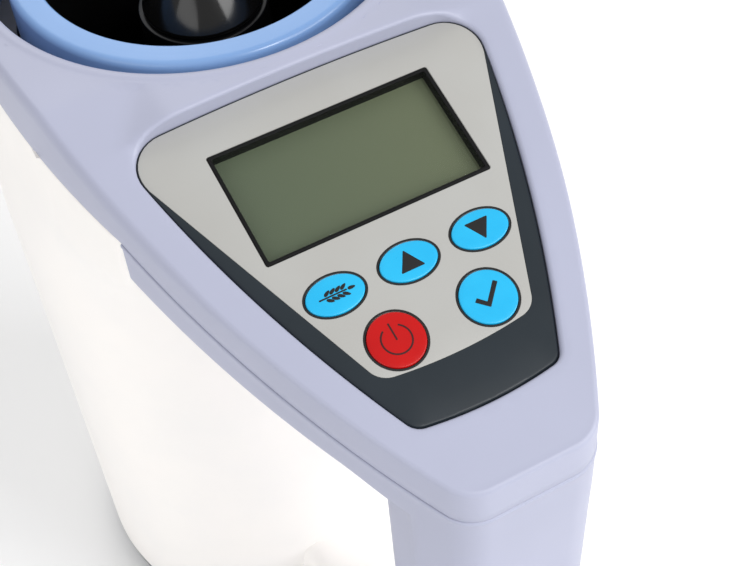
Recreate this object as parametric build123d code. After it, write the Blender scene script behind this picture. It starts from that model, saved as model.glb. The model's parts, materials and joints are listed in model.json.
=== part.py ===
"""Grain moisture meter: a jug-handled bench instrument that weighs a sample in a capacitance chamber.

Millimetres. X runs to the reader's right, -Y towards the reader, +Z up. The origin lies on the rest
plane, under the middle of the outline. Panel places are (u, v, n) on the tilted panel plane: u along X,
v up the slope from the top edge of the display window, n out of the panel.
"""
import os
from math import cos, radians, sin, sqrt, tan

from build123d import *

# ---- overall ----
overall_length = 192.0  # front of the nose to the back of the body
overall_height = 212.0  # rest plane to the flat top round the measuring chamber
panel_tilt = 15.5  # slope of the panel, degrees
body_radius = 55.2  # round lower body
cover_radius = 51.5  # back end of the top cover, round the chamber axis
nose_half = 13.4  # half width of the flat nose front before its corners are rounded
nose_corner = 8.5  # plan rounding of the nose corners
wall = 2.6  # moulded wall
fit_gap = 0.25  # clearance of one moulding inside another

# ---- top cover ----
cover_depth = 16.0  # flat top down to the top of the body
knee_reach = 34.0  # chamber axis forward to the line where the flat top would meet the panel plane
cover_edge = 8.1  # panel plane down to the parting plane under the sloped part
cover_proud = 0.6  # sloped cover surface above the panel plane
brow_half = 26.0  # half width of the flat of the raised brow above the panel
brow_reach = 51.0  # chamber axis forward to the brow's front
brow_flank = 20.0  # fall of the brow's sides, degrees
brow_foot = 12.0  # plan width of each of those sides
brow_overlap = 5.0  # brow's run into the flat top
rim_radius = 46.1  # round opening for the chamber collar
rim_lip = 1.5  # rounding of that opening's edge
skirt_depth = 20.0  # skirt hanging round the opening, from the flat top
skirt_wall = 2.2
seat_border = 2.0  # solid left round the keypad recess
cover_round = 2.2  # rounding of the flat top's outer edge

# ---- panel ----
window_below_knee = 25.1  # knee line down the slope to the window's top edge
window_width = 47.8
window_height = 25.7
plate_top = 9.1  # top edge of the keypad plate above the window's top edge
plate_bottom = 66.7  # bottom edge of the keypad plate below the window's top edge
plate_margin_top = 8.3  # cover outline in to the keypad plate, at its top
plate_margin_bottom = 7.1  # the same at its bottom
plate_top_corner = 7.6
plate_bottom_corner = 3.4
plate_end_bow = 1.3  # outward bow of the plate's top and bottom edges
plate_thickness = 3.0
plate_bevel = 0.6
overlay_bottom = 55.8  # bottom edge of the overlay below the window's top edge
overlay_step = -1.5  # place down the panel where the overlay's side leaves the plate's edge
overlay_band = 3.9  # dark band beside the overlay at its bottom corners
overlay_corner = 4.5
overlay_thickness = 0.4
recess_floor = 1.6  # cover wall under the keypad plate
recess_gap = 0.35  # clearance round the keypad plate

# ---- keys ----
round_key_radius = 5.5
oval_key_half = (5.8, 3.85)  # half axes of the three upper keys
lower_row = 48.9  # power and OK keys below the window's top edge
lower_offset = 9.6  # power and OK keys off the centre line
upper_row = 36.1  # oval keys below the window's top edge
upper_offset = 15.3  # outer oval keys off the centre line
key_proud = 0.25  # key top above the overlay
key_height = 1.6
key_gap = 0.15  # clearance round each key
key_travel = 0.4
stem_radius = 2.0
key_floor = 0.6  # web of the plate under each key
key_bevel = 0.2

# ---- display and main board ----
bezel_border = 1.1  # black frame inside the window
bezel_gap = 0.1  # clearance of the frame in the window
window_pane = 0.8
pane_seat = 0.5  # width of the frame's ledge that the pane sits in
pane_gap = 0.05
lcd_depth = 2.4  # panel plane down to the glass
lcd_thickness = 2.8
backlight_thickness = 4.4
display_overlap = 2.4  # glass beyond the window on every side
glass_gap = 0.2  # clearance of the glass's raised middle in the window
guide_inset = 1.0  # light guide inside the glass's edge
board_depth = 10.5  # panel plane down to the main board
board_thickness = 1.6
board_width = 66.0
board_tail_width = 30.0
board_above = 4.0  # main board above the window's top edge
board_split = 31.0  # window's top edge down to the step between wide and narrow board
board_bottom = 54.5
upper_post = 6.0  # upper board posts below the window's top edge
lower_post = 50.0  # lower board post below the same edge
post_radius = 3.0
post_inset = 0.5  # upper posts inside the board's edge
wing_border = 6.0  # board beyond the middles of the outer oval keys
wing_height = 14.0
CHIPS = [(-14, -8, 12, 12, 1.5), (12, -8, 9, 6, 1.2), (0, -24, 16, 5, 2.8)]  # u, v, width, height, thickness
buzzer_place = (-18.0, -22.0)
buzzer_size = (4.5, 2.8)  # radius, height
switch_size = 6.0
switch_height = 3.55
button_radius = 1.6  # the switch's own button
button_height = 0.6
stem_to_switch = 0.45  # key stem above its switch at rest

# ---- body ----
foot_height = 3.0
foot_radius = 6.0
foot_circle = 43.0
foot_bevel = 0.8
plug_step = 1.5  # foot's rim round its plug
plug_depth = 1.5
base_thickness = 4.0
base_rim = 4.5
base_inset = 0.6  # base inside the body's outline
base_screw_inset = 6.0
shoulder_low = 152.0  # top of the plain round part
shoulder_top_drop = 12.0  # body's top edge down to where the shoulder begins
ridge_angle = 43.0  # front corners of the round part, degrees forward of the X axis
wire_slot = 72.0  # opening from the body into the handle's tray

# ---- screws: (radius, height) of each head ----
screw_radius = 1.5
thread_gap = 0.05
hole_gap = 0.2  # clearance of a screw in a plain hole
screw_bite = 4.4  # thread in a post
hole_spare = 0.1  # hole deeper than its screw
board_head = (2.6, 1.6)
base_head = (3.0, 1.0)
grip_head = (2.4, 0.8)
pedestal_head_size = (2.8, 1.8)

# ---- handle ----
tray_depth = 12.0  # body's top edge down to the tray's underside
tray_tilt = 12.0  # slope of the tray's underside, degrees
tray_clear = 1.0  # body's top in the handle, below the tray's underside
grip_half = 19.2
grip_depth = 28.0
grip_round = 9.0
grip_taper = 0.8  # degrees
arm_low = 16.0
arm_top = 44.0
arm_half = 16.0
arm_round = 7.0
arm_start = 6.0  # nose back to the arm's front end
arm_end = 14.0  # arm's end in front of the chamber axis, inside the body's outline
heel_round = 26.0  # rounding under the foot of the handle
strip_half = 9.0
strip_low = 58.0
strip_high = 150.0
strip_thickness = 2.6
strip_sink = 2.2  # strip's face inside the back of the grip
strip_screw_inset = 8.0

# ---- measuring chamber ----
chamber_radius = 33.0
electrode_wall = 1.0
cup_wall = 3.6
collar_top_drop = 2.9  # flat top down to the collar's top
collar_height = 20.0
collar_seat = 7.0  # collar's top down to the top of the cup inside it
collar_mouth = 1.3  # bore of the collar beyond the chamber's radius
collar_wall = 2.9
collar_round = 1.6
collar_inner_round = 0.8
electrode_drop = 1.0  # cup's top down to the tube's top
chamber_floor_z = 115.0
floor_thickness = 6.0
floor_socket = 4.0  # socket under the floor, inside the core's radius
floor_web = 2.0  # floor left over that socket
core_radius = 14.5
core_wall = 2.0
cone_height = 15.0
cone_top_drop = 5.6  # flat top down to the cone's tip
cone_tip = 0.6
cup_floor = 4.0
guard_gap = 0.8
guard_thickness = 1.6
probe_radius = 1.6
probe_height = 7.0
probe_circle = 23.0
meter_board_radius = 30.0

# ---- weighing ----
beam_length = 60.0
beam_side = 12.7
beam_split = 0.7
beam_drop = 10.0  # cup underside down to the beam's top
flexure_radius = 4.0
flexure_offset = 7.0  # each round hole off the middle of the beam
boss_radius = 9.0
boss_gap = 1.0
pad_length = 14.0
bracket_thickness = 3.0
bracket_lift = 1.0
weigh_travel = 0.5
pedestal_width = 20.0
pedestal_depth = 34.0
pedestal_foot = 4.0
pedestal_wall = 3.0
pedestal_head = 12.0  # solid top that the beam's bolts bite into
pedestal_overhang = 4.0  # post beyond the beam's fixed end
pedestal_round = 3.0
pedestal_flange = (6.0, 4.0)  # foot beyond the post along X and Y
pedestal_screw_out = 3.0  # screws beyond the post's sides
pedestal_screw_reach = 12.0  # screws off the chamber's middle plane
pedestal_bite = 8.0  # bolts' reach into the pedestal
bolt_radius = 2.0
bolt_head = (3.5, 3.2)
hex_radius = 1.7
hex_floor = 1.4
bolt_end = 4.0  # outer bolt in from the beam's end
bolt_pitch = 6.5
bolt_floor = 3.0  # metal left under the blind bolt holes

# ---- batteries ----
cell_radius = 7.1
cell_length = 50.0
cell_count = 4
cell_pitch = 15.2
holder_wall = 2.0
holder_low = 14.0
holder_skin_gap = 1.0  # holder's corners inside the body wall
holder_corner = 2.0  # spare width allowed for at those corners
holder_spare = 0.6  # play round the cells
stand_inset = 5.0  # holder's stand inside its sides
stand_depth = 8.0
contact_thickness = 1.4
contact_side = 11.0
contact_gap = 0.3
nub_radius = 2.7
nub_length = 1.5
door_gap = 0.4
door_margin = 4.0
door_corner = 4.0
groove_rise = 22.0  # middle groove above the middle of the door
groove_pitch = 3.0
groove_size = (24.0, 2.4, 1.2)

# ---- worked out from the sizes above ----
tilt = radians(panel_tilt)
chamber_y = overall_length / 2 - body_radius
nose_y = -overall_length / 2
nose_reach = chamber_y - nose_y
flank_radius = (nose_reach**2 + (cover_radius - nose_half) ** 2) / (2 * (cover_radius - nose_half))
body_top = overall_height - cover_depth
knee_y = chamber_y - knee_reach
panel = Plane(
    origin=(0, knee_y - window_below_knee * cos(tilt), overall_height - window_below_knee * sin(tilt)),
    x_dir=(1, 0, 0),
    z_dir=(0, -sin(tilt), cos(tilt)),
)
front_reach = knee_reach + (cover_depth - cover_edge / cos(tilt)) / tan(tilt)
front_y = chamber_y - front_reach
base_top = foot_height + base_thickness
collar_top = overall_height - collar_top_drop
cup_outer = chamber_radius + electrode_wall + cup_wall
collar_inner = chamber_radius + collar_mouth
collar_outer = cup_outer + collar_wall
cup_top = collar_top - collar_seat
cup_low = chamber_floor_z - floor_thickness - cup_floor
beam_top = cup_low - beam_drop
grip_back = nose_y + grip_depth
door_middle = holder_low + cell_count * cell_pitch / 2
pedestal_x = pedestal_width / 2 - pedestal_overhang - beam_length / 2
LOW = (Align.CENTER, Align.CENTER, Align.MIN)
HIGH = (Align.CENTER, Align.CENTER, Align.MAX)
LOW_FRONT = (Align.CENTER, Align.MIN, Align.MIN)
FAR = 400.0  # larger than the whole meter
THROUGH = 40.0  # deeper than any local cut


def half_width(y):
    """Half width of the cover outline at a place in front of the chamber axis."""
    centre = cover_radius - flank_radius
    return centre + sqrt(flank_radius**2 - (chamber_y - y) ** 2)


def cover_outline(grow=0.0):
    """Plan outline of the cover, grown outwards by a distance."""
    radius = cover_radius + grow
    flank = flank_radius + grow
    centre = cover_radius - flank_radius
    tip_y = nose_y - grow
    tip = centre + sqrt(flank**2 - (chamber_y - tip_y) ** 2)
    mid_y = (chamber_y + tip_y) / 2
    mid = centre + sqrt(flank**2 - (chamber_y - mid_y) ** 2)
    edges = Curve() + [
        ThreePointArc((radius, chamber_y), (0, chamber_y + radius), (-radius, chamber_y)),
        ThreePointArc((-radius, chamber_y), (-mid, mid_y), (-tip, tip_y)),
        Line((-tip, tip_y), (tip, tip_y)),
        ThreePointArc((tip, tip_y), (mid, mid_y), (radius, chamber_y)),
    ]
    face = make_face(edges)
    corners = face.vertices().sort_by(Axis.Y)[:2]
    return fillet(corners, nose_corner + grow)


def neck_outline(grow=0.0):
    """Plan outline of the body's top: the cover outline cut off at the handle's tray."""
    radius = cover_radius + grow
    flank = flank_radius + grow
    centre = cover_radius - flank_radius
    cut_y = front_y - grow
    corner = centre + sqrt(flank**2 - (chamber_y - cut_y) ** 2)
    mid_y = (chamber_y + cut_y) / 2
    mid = centre + sqrt(flank**2 - (chamber_y - mid_y) ** 2)
    return make_face(
        Curve()
        + [
            ThreePointArc((radius, chamber_y), (0, chamber_y + radius), (-radius, chamber_y)),
            ThreePointArc((-radius, chamber_y), (-mid, mid_y), (-corner, cut_y)),
            Line((-corner, cut_y), (corner, cut_y)),
            ThreePointArc((corner, cut_y), (mid, mid_y), (radius, chamber_y)),
        ]
    )


def round_outline(grow=0.0):
    """Round body outline, divided where the neck outline has its corners."""
    radius = body_radius + grow
    ridge = radians(ridge_angle)
    half = radians(ridge_angle / 2)
    corner = (radius * cos(ridge), chamber_y - radius * sin(ridge))
    side = (radius * cos(half), chamber_y - radius * sin(half))
    return make_face(
        Curve()
        + [
            ThreePointArc((radius, chamber_y), (0, chamber_y + radius), (-radius, chamber_y)),
            ThreePointArc((-radius, chamber_y), (-side[0], side[1]), (-corner[0], corner[1])),
            ThreePointArc((-corner[0], corner[1]), (0, chamber_y - radius), corner),
            ThreePointArc(corner, side, (radius, chamber_y)),
        ]
    )


def plan_prism(face, low, high):
    """Upright prism of a plan outline between two heights."""
    return Pos(0, 0, low) * extrude(face, high - low)


def above_panel(depth):
    """Everything above a plane parallel to the panel, a distance under it."""
    return panel * Pos(0, 0, -depth) * Box(FAR, FAR, FAR, align=LOW)


def plate_half(v):
    """Half width of the keypad plate at a place on the panel."""
    share = (plate_top - v) / (plate_top + plate_bottom)
    margin = plate_margin_top + (plate_margin_bottom - plate_margin_top) * share
    return half_width(panel.origin.Y + v * cos(tilt)) - margin


def plate_outline(grow=0.0):
    """Outline of the keypad plate on the panel plane, grown outwards."""
    top = plate_top - plate_end_bow + grow
    low = plate_end_bow - plate_bottom - grow
    mid = (top + low) / 2
    right_top = (plate_half(top) + grow, top)
    right_mid = (plate_half(mid) + grow, mid)
    right_low = (plate_half(low) + grow, low)
    left_top, left_mid, left_low = [(-u, v) for u, v in (right_top, right_mid, right_low)]
    face = make_face(
        Curve()
        + [
            ThreePointArc(left_top, (0, plate_top + grow), right_top),
            ThreePointArc(right_top, right_mid, right_low),
            ThreePointArc(right_low, (0, -plate_bottom - grow), left_low),
            ThreePointArc(left_low, left_mid, left_top),
        ]
    )
    face = fillet(face.vertices().sort_by(Axis.Y)[-2:], plate_top_corner + grow)
    return fillet(face.vertices().sort_by(Axis.Y)[:2], plate_bottom_corner + grow)


def overlay_outline():
    """Outline of the printed overlay: the plate's top, straight sides and a bowed bottom."""
    top = plate_top - plate_end_bow
    low = plate_end_bow - overlay_bottom
    right_top = (plate_half(top) - fit_gap, top - fit_gap)
    right_step = (plate_half(overlay_step) - fit_gap, overlay_step)
    right_low = (plate_half(low) - overlay_band, low)
    left_top, left_step, left_low = [(-x, v) for x, v in (right_top, right_step, right_low)]
    face = make_face(
        Curve()
        + [
            ThreePointArc(left_top, (0, plate_top - fit_gap), right_top),
            Line(right_top, right_step),
            Line(right_step, right_low),
            ThreePointArc(right_low, (0, -overlay_bottom), left_low),
            Line(left_low, left_step),
            Line(left_step, left_top),
        ]
    )
    face = fillet(face.vertices().sort_by(Axis.Y)[-2:], plate_top_corner - fit_gap)
    return fillet(face.vertices().sort_by(Axis.Y)[:2], overlay_corner)


def round_key_face(grow=0.0):
    """Outline of a round key."""
    return Circle(round_key_radius + grow)


def oval_key_face(grow=0.0):
    """Outline of an oval key."""
    return Ellipse(oval_key_half[0] + grow, oval_key_half[1] + grow)


KEYS = {
    "power_key": (-lower_offset, -lower_row, round_key_face),
    "ok_key": (lower_offset, -lower_row, round_key_face),
    "species_key": (-upper_offset, -upper_row, oval_key_face),
    "up_key": (0.0, -upper_row, oval_key_face),
    "down_key": (upper_offset, -upper_row, oval_key_face),
}


def window_centre(n):
    """Place on the panel at the middle of the display window."""
    return panel * Pos(0, -window_height / 2, n)


def cover_posts():
    """Places of the posts that the main board is screwed to, on the panel."""
    wide = board_width / 2 - post_radius - post_inset
    return [(-wide, -upper_post), (wide, -upper_post), (0.0, -lower_post)]


def brow_block():
    """Raised brow between the flat top and the panel, falling away at its sides."""
    foot = brow_half + brow_foot
    fall = overall_height - brow_foot * tan(radians(brow_flank))
    right = [(brow_half, overall_height), (foot, fall), (foot, 0)]
    left = [(-x, z) for x, z in reversed(right)]
    face = make_face(Polyline(*left, *right, close=True))
    plane = Plane(origin=(0, chamber_y - brow_reach, 0), x_dir=(-1, 0, 0), z_dir=(0, 1, 0))
    return extrude(plane * face, brow_reach - knee_reach + brow_overlap)


def top_cover():
    """Top shell with the sloped panel recess, the brow and the round chamber opening."""
    block = plan_prism(cover_outline(), 0, overall_height)
    shell = block - (above_panel(-cover_proud) - brow_block())
    shell -= Pos(0, 0, body_top) * Box(FAR, FAR, FAR, align=HIGH) - above_panel(cover_edge)
    rim_edges = shell.edges().filter_by_position(Axis.Z, overall_height - 0.01, overall_height + 0.01)
    shell = fillet(rim_edges.filter_by(GeomType.CIRCLE).sort_by(SortBy.LENGTH)[-1:], cover_round)
    hollow = plan_prism(cover_outline(-wall), 0, overall_height - wall)
    hollow -= above_panel(wall - cover_proud)
    seat = panel * Pos(0, 0, -plate_thickness - recess_floor) * extrude(plate_outline(seat_border), FAR)
    hollow -= seat
    for u, v in cover_posts():
        hollow -= panel * Pos(u, v, -board_depth) * Cylinder(post_radius, board_depth, align=LOW)
    skirt = Pos(0, chamber_y, overall_height) * Cylinder(rim_radius + skirt_wall, skirt_depth, align=HIGH)
    shell -= hollow - skirt
    shell -= Pos(0, chamber_y, 0) * Cylinder(rim_radius, FAR, align=LOW)
    mouth = Pos(0, chamber_y, overall_height) * Cylinder(rim_radius + rim_lip, rim_lip, align=HIGH)
    shell -= mouth - Pos(0, chamber_y, overall_height - rim_lip) * Torus(rim_radius + rim_lip, rim_lip)
    shell -= panel * Pos(0, 0, -plate_thickness) * extrude(plate_outline(recess_gap), THROUGH)
    border = 2 * display_overlap + 2 * fit_gap
    shell -= window_centre(0) * Box(window_width + border, window_height + border, THROUGH)
    for u, v, _ in KEYS.values():
        shell -= panel * Pos(u, v, 0) * Cylinder(stem_radius + fit_gap, THROUGH)
    for u, v in cover_posts():
        shell -= panel * Pos(u, v, -board_depth) * Cylinder(screw_radius, screw_bite + hole_spare, align=LOW)
    return shell


def keypad_plate():
    """Dark plate that carries the overlay, the display frame and the keys."""
    plate = panel * Pos(0, 0, -plate_thickness) * extrude(plate_outline(), plate_thickness)
    top = plate.faces().sort_by(lambda face: (face.center() - panel.origin).dot(panel.z_dir))[-1]
    plate = chamfer(top.edges(), plate_bevel)
    plate -= panel * Pos(0, 0, -overlay_thickness) * extrude(overlay_outline(), THROUGH)
    plate -= window_centre(0) * Box(window_width, window_height, THROUGH)
    for u, v, face in KEYS.values():
        plate -= panel * Pos(u, v, key_floor - plate_thickness) * extrude(face(key_gap), THROUGH)
        plate -= panel * Pos(u, v, 0) * Cylinder(stem_radius + fit_gap, THROUGH)
    return plate


def panel_overlay():
    """Light printed overlay let into the keypad plate."""
    sheet = panel * Pos(0, 0, -overlay_thickness) * extrude(overlay_outline(), overlay_thickness)
    sheet -= window_centre(0) * Box(window_width, window_height, THROUGH)
    for u, v, face in KEYS.values():
        sheet -= panel * Pos(u, v, -plate_thickness) * extrude(face(key_gap), THROUGH)
    return sheet


def key_cap(name):
    """One key with its stem."""
    u, v, face = KEYS[name]
    cap = panel * Pos(u, v, key_proud - key_height) * extrude(face(), key_height)
    top = cap.faces().sort_by(lambda side: (side.center() - panel.origin).dot(panel.z_dir))[-1]
    cap = chamfer(top.edges(), key_bevel)
    stem_end = board_depth - switch_height - stem_to_switch
    stem = panel * Pos(u, v, -stem_end) * Cylinder(stem_radius, stem_end - key_height / 2, align=LOW)
    return cap + stem


def display_bezel():
    """Black frame that lines the display window down to the glass."""
    frame = window_centre(-lcd_depth) * Box(
        window_width - 2 * bezel_gap, window_height - 2 * bezel_gap, lcd_depth, align=LOW
    )
    inner_width = window_width - 2 * bezel_border
    inner_height = window_height - 2 * bezel_border
    frame -= window_centre(0) * Box(inner_width, inner_height, THROUGH)
    ledge = window_centre(-window_pane) * Box(
        inner_width + 2 * pane_seat, inner_height + 2 * pane_seat, THROUGH, align=LOW
    )
    return frame - ledge


def display_window():
    """Clear pane let into the top of the frame."""
    border = 2 * (bezel_border - pane_seat + pane_gap)
    return window_centre(-window_pane) * Box(
        window_width - border, window_height - border, window_pane, align=LOW
    )


def lcd_glass():
    """Liquid crystal glass under the frame."""
    width = window_width + 2 * display_overlap
    height = window_height + 2 * display_overlap
    slab = window_centre(-lcd_depth) * Box(width, height, lcd_thickness, align=HIGH)
    step = Box(FAR, FAR, THROUGH, align=LOW)
    step -= Box(window_width - 2 * glass_gap, window_height - 2 * glass_gap, THROUGH, align=LOW)
    return slab - window_centre(-plate_thickness) * step


def lcd_backlight():
    """Light guide behind the glass."""
    border = 2 * (display_overlap - guide_inset)
    return window_centre(-lcd_depth - lcd_thickness) * Box(
        window_width + border, window_height + border, backlight_thickness, align=HIGH
    )


def main_board():
    """Main circuit board, wide behind the display and narrow behind the keys."""
    wide = panel * Pos(0, (board_above - board_split) / 2, -board_depth) * Box(
        board_width, board_above + board_split, board_thickness, align=HIGH
    )
    tail = panel * Pos(0, -(board_split + board_bottom) / 2, -board_depth) * Box(
        board_tail_width, board_bottom - board_split, board_thickness, align=HIGH
    )
    wing = panel * Pos(0, -upper_row, -board_depth) * Box(
        2 * (upper_offset + wing_border), wing_height, board_thickness, align=HIGH
    )
    board = wide + tail + wing
    for u, v in cover_posts():
        board -= panel * Pos(u, v, -board_depth) * Cylinder(screw_radius + hole_gap, THROUGH)
    return board


def board_parts():
    """Chips, buzzer and socket on the underside of the main board."""
    under = -board_depth - board_thickness
    parts = [panel * Pos(u, v, under) * Box(w, h, t, align=HIGH) for u, v, w, h, t in CHIPS]
    parts.append(panel * Pos(*buzzer_place, under) * Cylinder(*buzzer_size, align=HIGH))
    return Compound(parts)


def tact_switches():
    """Five switches under the key stems."""
    switches = []
    for u, v, _ in KEYS.values():
        place = panel * Pos(u, v, -board_depth)
        case = place * Box(switch_size, switch_size, switch_height - button_height, align=LOW)
        switches.append(case + place * Cylinder(button_radius, switch_height, align=LOW))
    return Compound(switches)


def board_screws():
    """Screws that hold the main board to the cover's posts."""
    under = -board_depth - board_thickness
    screws = []
    for u, v in cover_posts():
        head = panel * Pos(u, v, under) * Cylinder(*board_head, align=HIGH)
        shank = Cylinder(screw_radius - thread_gap, board_thickness + screw_bite, align=LOW)
        screws.append(head + panel * Pos(u, v, under) * shank)
    return Compound(screws)


def dust_guard():
    """Annular guard under the skirt that keeps spilled grain out of the body."""
    top = overall_height - skirt_depth
    place = Pos(0, chamber_y, top)
    ring = place * Cylinder(rim_radius + skirt_wall, guard_thickness, align=HIGH)
    return ring - place * Cylinder(collar_outer + guard_gap, THROUGH)


def body_solid(grow):
    """Filled body form: a round tower that shoulders into the cover outline."""
    shoulder_high = body_top - shoulder_top_drop
    tower = plan_prism(round_outline(grow), base_top, shoulder_low)
    lower_ring = Pos(0, 0, shoulder_low) * round_outline(grow)
    shoulder = loft([lower_ring, Pos(0, 0, shoulder_high) * neck_outline(grow)])
    neck = plan_prism(neck_outline(grow), shoulder_high, body_top)
    return tower + shoulder + neck


def door_face(grow=0.0):
    """Outline of the battery door, seen from behind."""
    height = cell_count * cell_pitch + 2 * door_margin
    width = cell_length + 2 * door_margin
    plane = Plane(origin=(0, chamber_y, door_middle), x_dir=(-1, 0, 0), z_dir=(0, 1, 0))
    return plane * RectangleRounded(width + 2 * grow, height + 2 * grow, door_corner + grow)


def body_shell():
    """White outer body with the battery opening at the back and the wire opening to the tray."""
    shell = body_solid(0) - body_solid(-wall)
    shell -= Pos(0, chamber_y, 0) * Cylinder(body_radius - wall, base_top + wall, align=LOW)
    shell -= Pos(0, chamber_y, body_top) * Cylinder(cover_radius - wall, THROUGH / 5)
    shell -= extrude(door_face(), body_radius + THROUGH)
    return shell - Pos(0, front_y, body_top) * Box(wire_slot, 6 * wall, 2 * (tray_depth - 2 * wall))


def battery_door():
    """Curved door over the batteries, with finger grooves across it."""
    band = Pos(0, chamber_y, 0) * (
        Cylinder(body_radius, FAR, align=LOW) - Cylinder(body_radius - wall, FAR, align=LOW)
    )
    door = band & extrude(door_face(-door_gap), body_radius + THROUGH)
    for step in (-1, 0, 1):
        rise = door_middle + groove_rise + groove_pitch * step
        door -= Pos(0, chamber_y + body_radius, rise) * Box(*groove_size)
    return door


def base_plate():
    """Bottom plate with the rim that locates the body."""
    plate = Pos(0, chamber_y, foot_height) * Cylinder(body_radius - base_inset, base_thickness, align=LOW)
    rim_outer = body_radius - wall - fit_gap
    rim = Pos(0, chamber_y, base_top) * (
        Cylinder(rim_outer, base_rim, align=LOW) - Cylinder(rim_outer - wall, base_rim, align=LOW)
    )
    plate += rim
    for x, y in foot_places():
        plate -= Pos(x, y, foot_height) * Cylinder(foot_radius - plug_step, plug_depth, align=LOW)
    return plate


def foot_places():
    """Places of the four feet."""
    reach = foot_circle * cos(radians(45))
    return [(sx * reach, chamber_y + sy * reach) for sx in (-1, 1) for sy in (-1, 1)]


def rubber_foot(index):
    """One rubber foot plugged into the base."""
    x, y = foot_places()[index]
    pad = Pos(x, y, 0) * Cylinder(foot_radius, foot_height, align=LOW)
    pad = chamfer(pad.edges().sort_by(Axis.Z)[0], foot_bevel)
    return pad + Pos(x, y, foot_height) * Cylinder(foot_radius - plug_step, plug_depth, align=LOW)


def base_screws():
    """Screws through the base into the body."""
    screws = []
    reach = body_radius - wall - base_screw_inset
    for sx, sy in ((1, 0), (-1, 0), (0, -1)):
        place = Pos(sx * reach, chamber_y + sy * reach, foot_height)
        screws.append(place * Cylinder(*base_head, align=HIGH))
    return Compound(screws)


def grip_section(shrink=0.0):
    """Plan section of the grip: the nose outline in front, rounded towards the fingers."""
    band = Pos(0, (nose_y + grip_back) / 2) * Rectangle(2 * (grip_half - shrink), grip_depth - 2 * shrink)
    band = fillet(band.vertices().sort_by(Axis.Y)[-2:], grip_round - shrink)
    return band & cover_outline(-shrink)


def tray_floor(depth):
    """Everything below the tray's underside, raised by a distance."""
    plane = Plane(
        origin=(0, front_y, body_top - tray_depth + depth),
        x_dir=(1, 0, 0),
        z_dir=(0, -sin(radians(tray_tilt)), cos(radians(tray_tilt))),
    )
    return plane * Box(FAR, FAR, FAR, align=HIGH)


def tray_block(grow, floor):
    """Filled tray between its underside and the parting plane."""
    block = plan_prism(cover_outline(grow), arm_low, body_top)
    block -= above_panel(cover_edge)
    block -= tray_floor(floor)
    return block - Pos(0, front_y, 0) * Box(FAR, FAR, FAR, align=(Align.CENTER, Align.MIN, Align.MIN))


def heel_cut():
    """Everything outside the rounded heel of the handle."""
    corner = Pos(0, nose_y, arm_low) * Box(FAR, 2 * heel_round, 2 * heel_round)
    barrel = Pos(0, nose_y + heel_round, arm_low + heel_round) * Rot(0, 90, 0) * Cylinder(heel_round, FAR)
    corner &= Pos(0, nose_y + heel_round, arm_low + heel_round) * Box(
        FAR, 4 * heel_round, 4 * heel_round, align=(Align.CENTER, Align.MAX, Align.MAX)
    )
    return corner - barrel


def arm_block(shrink):
    """Filled lower arm from the grip back to the body."""
    length = chamber_y - arm_end - nose_y - arm_start
    bar = Pos(0, nose_y + arm_start + shrink, (arm_low + arm_top) / 2) * Box(
        2 * (arm_half - shrink),
        length,
        arm_top - arm_low - 2 * shrink,
        align=(Align.CENTER, Align.MIN, Align.CENTER),
    )
    return fillet(bar.edges().filter_by(Axis.Y), arm_round - shrink)


def grip_block(shrink):
    """Filled upright grip, slightly narrower towards its foot."""
    top = body_top - tray_depth
    height = top - arm_low - shrink
    column = extrude(grip_section(shrink), -height, taper=grip_taper)
    return Pos(0, 0, top) * column


def handle_frame():
    """Tray under the cover that runs down into the hollow grip and back to the body."""
    frame = grip_block(0) - above_panel(cover_edge)
    frame += arm_block(0)
    frame -= heel_cut()
    frame += tray_block(0, 0)
    hollow = grip_block(wall) + arm_block(wall)
    hollow &= Pos(0, 0, arm_low + wall) * Box(FAR, FAR, body_top, align=LOW)
    frame -= hollow - heel_fill()
    frame -= tray_block(-wall, wall)
    frame -= Pos(0, chamber_y, 0) * Cylinder(body_radius, body_top - tray_depth - tray_clear, align=LOW)
    return frame - strip_block(fit_gap, 4 * wall, Align.CENTER)


def heel_fill():
    """Wall kept behind the rounded heel when the handle is hollowed."""
    corner = Pos(0, nose_y, arm_low) * Box(FAR, 2 * heel_round, 2 * heel_round)
    inside = Rot(0, 90, 0) * Cylinder(heel_round - wall, FAR)
    inside += Box(FAR, FAR, FAR, align=(Align.CENTER, Align.MIN, Align.CENTER))
    inside += Box(FAR, FAR, FAR, align=LOW)
    return corner - Pos(0, nose_y + heel_round, arm_low + heel_round) * inside


def strip_block(grow, depth, along):
    """Upright strip on the finger side of the grip, placed along Y by its face or its middle."""
    place = Pos(0, grip_back - strip_sink, (strip_low + strip_high) / 2)
    width = 2 * (strip_half + grow)
    height = strip_high - strip_low + 2 * grow
    return place * Box(width, depth, height, align=(Align.CENTER, along, Align.CENTER))


def grip_cover():
    """Strip that closes the finger side of the grip."""
    return strip_block(0, strip_thickness, Align.MAX)


def grip_screws():
    """Two screws in the grip cover."""
    screws = []
    for z in (strip_low + strip_screw_inset, strip_high - strip_screw_inset):
        place = Pos(0, grip_back - strip_sink, z) * Rot(-90, 0, 0)
        screws.append(place * Cylinder(*grip_head, align=LOW))
    return Compound(screws)


def chamber_collar():
    """Blue collar round the mouth of the chamber."""
    place = Pos(0, chamber_y, collar_top - collar_height)
    ring = place * Cylinder(collar_outer, collar_height, align=LOW)
    ring = fillet(ring.edges().sort_by(Axis.Z)[-1], collar_round)
    ring -= place * Cylinder(cup_outer, collar_height - collar_seat, align=LOW)
    ring -= place * Cylinder(collar_inner, FAR, align=LOW)
    upper = ring.edges().filter_by(GeomType.CIRCLE).group_by(Axis.Z)[-1]
    return fillet(upper.sort_by(SortBy.RADIUS)[0], collar_inner_round)


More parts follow.
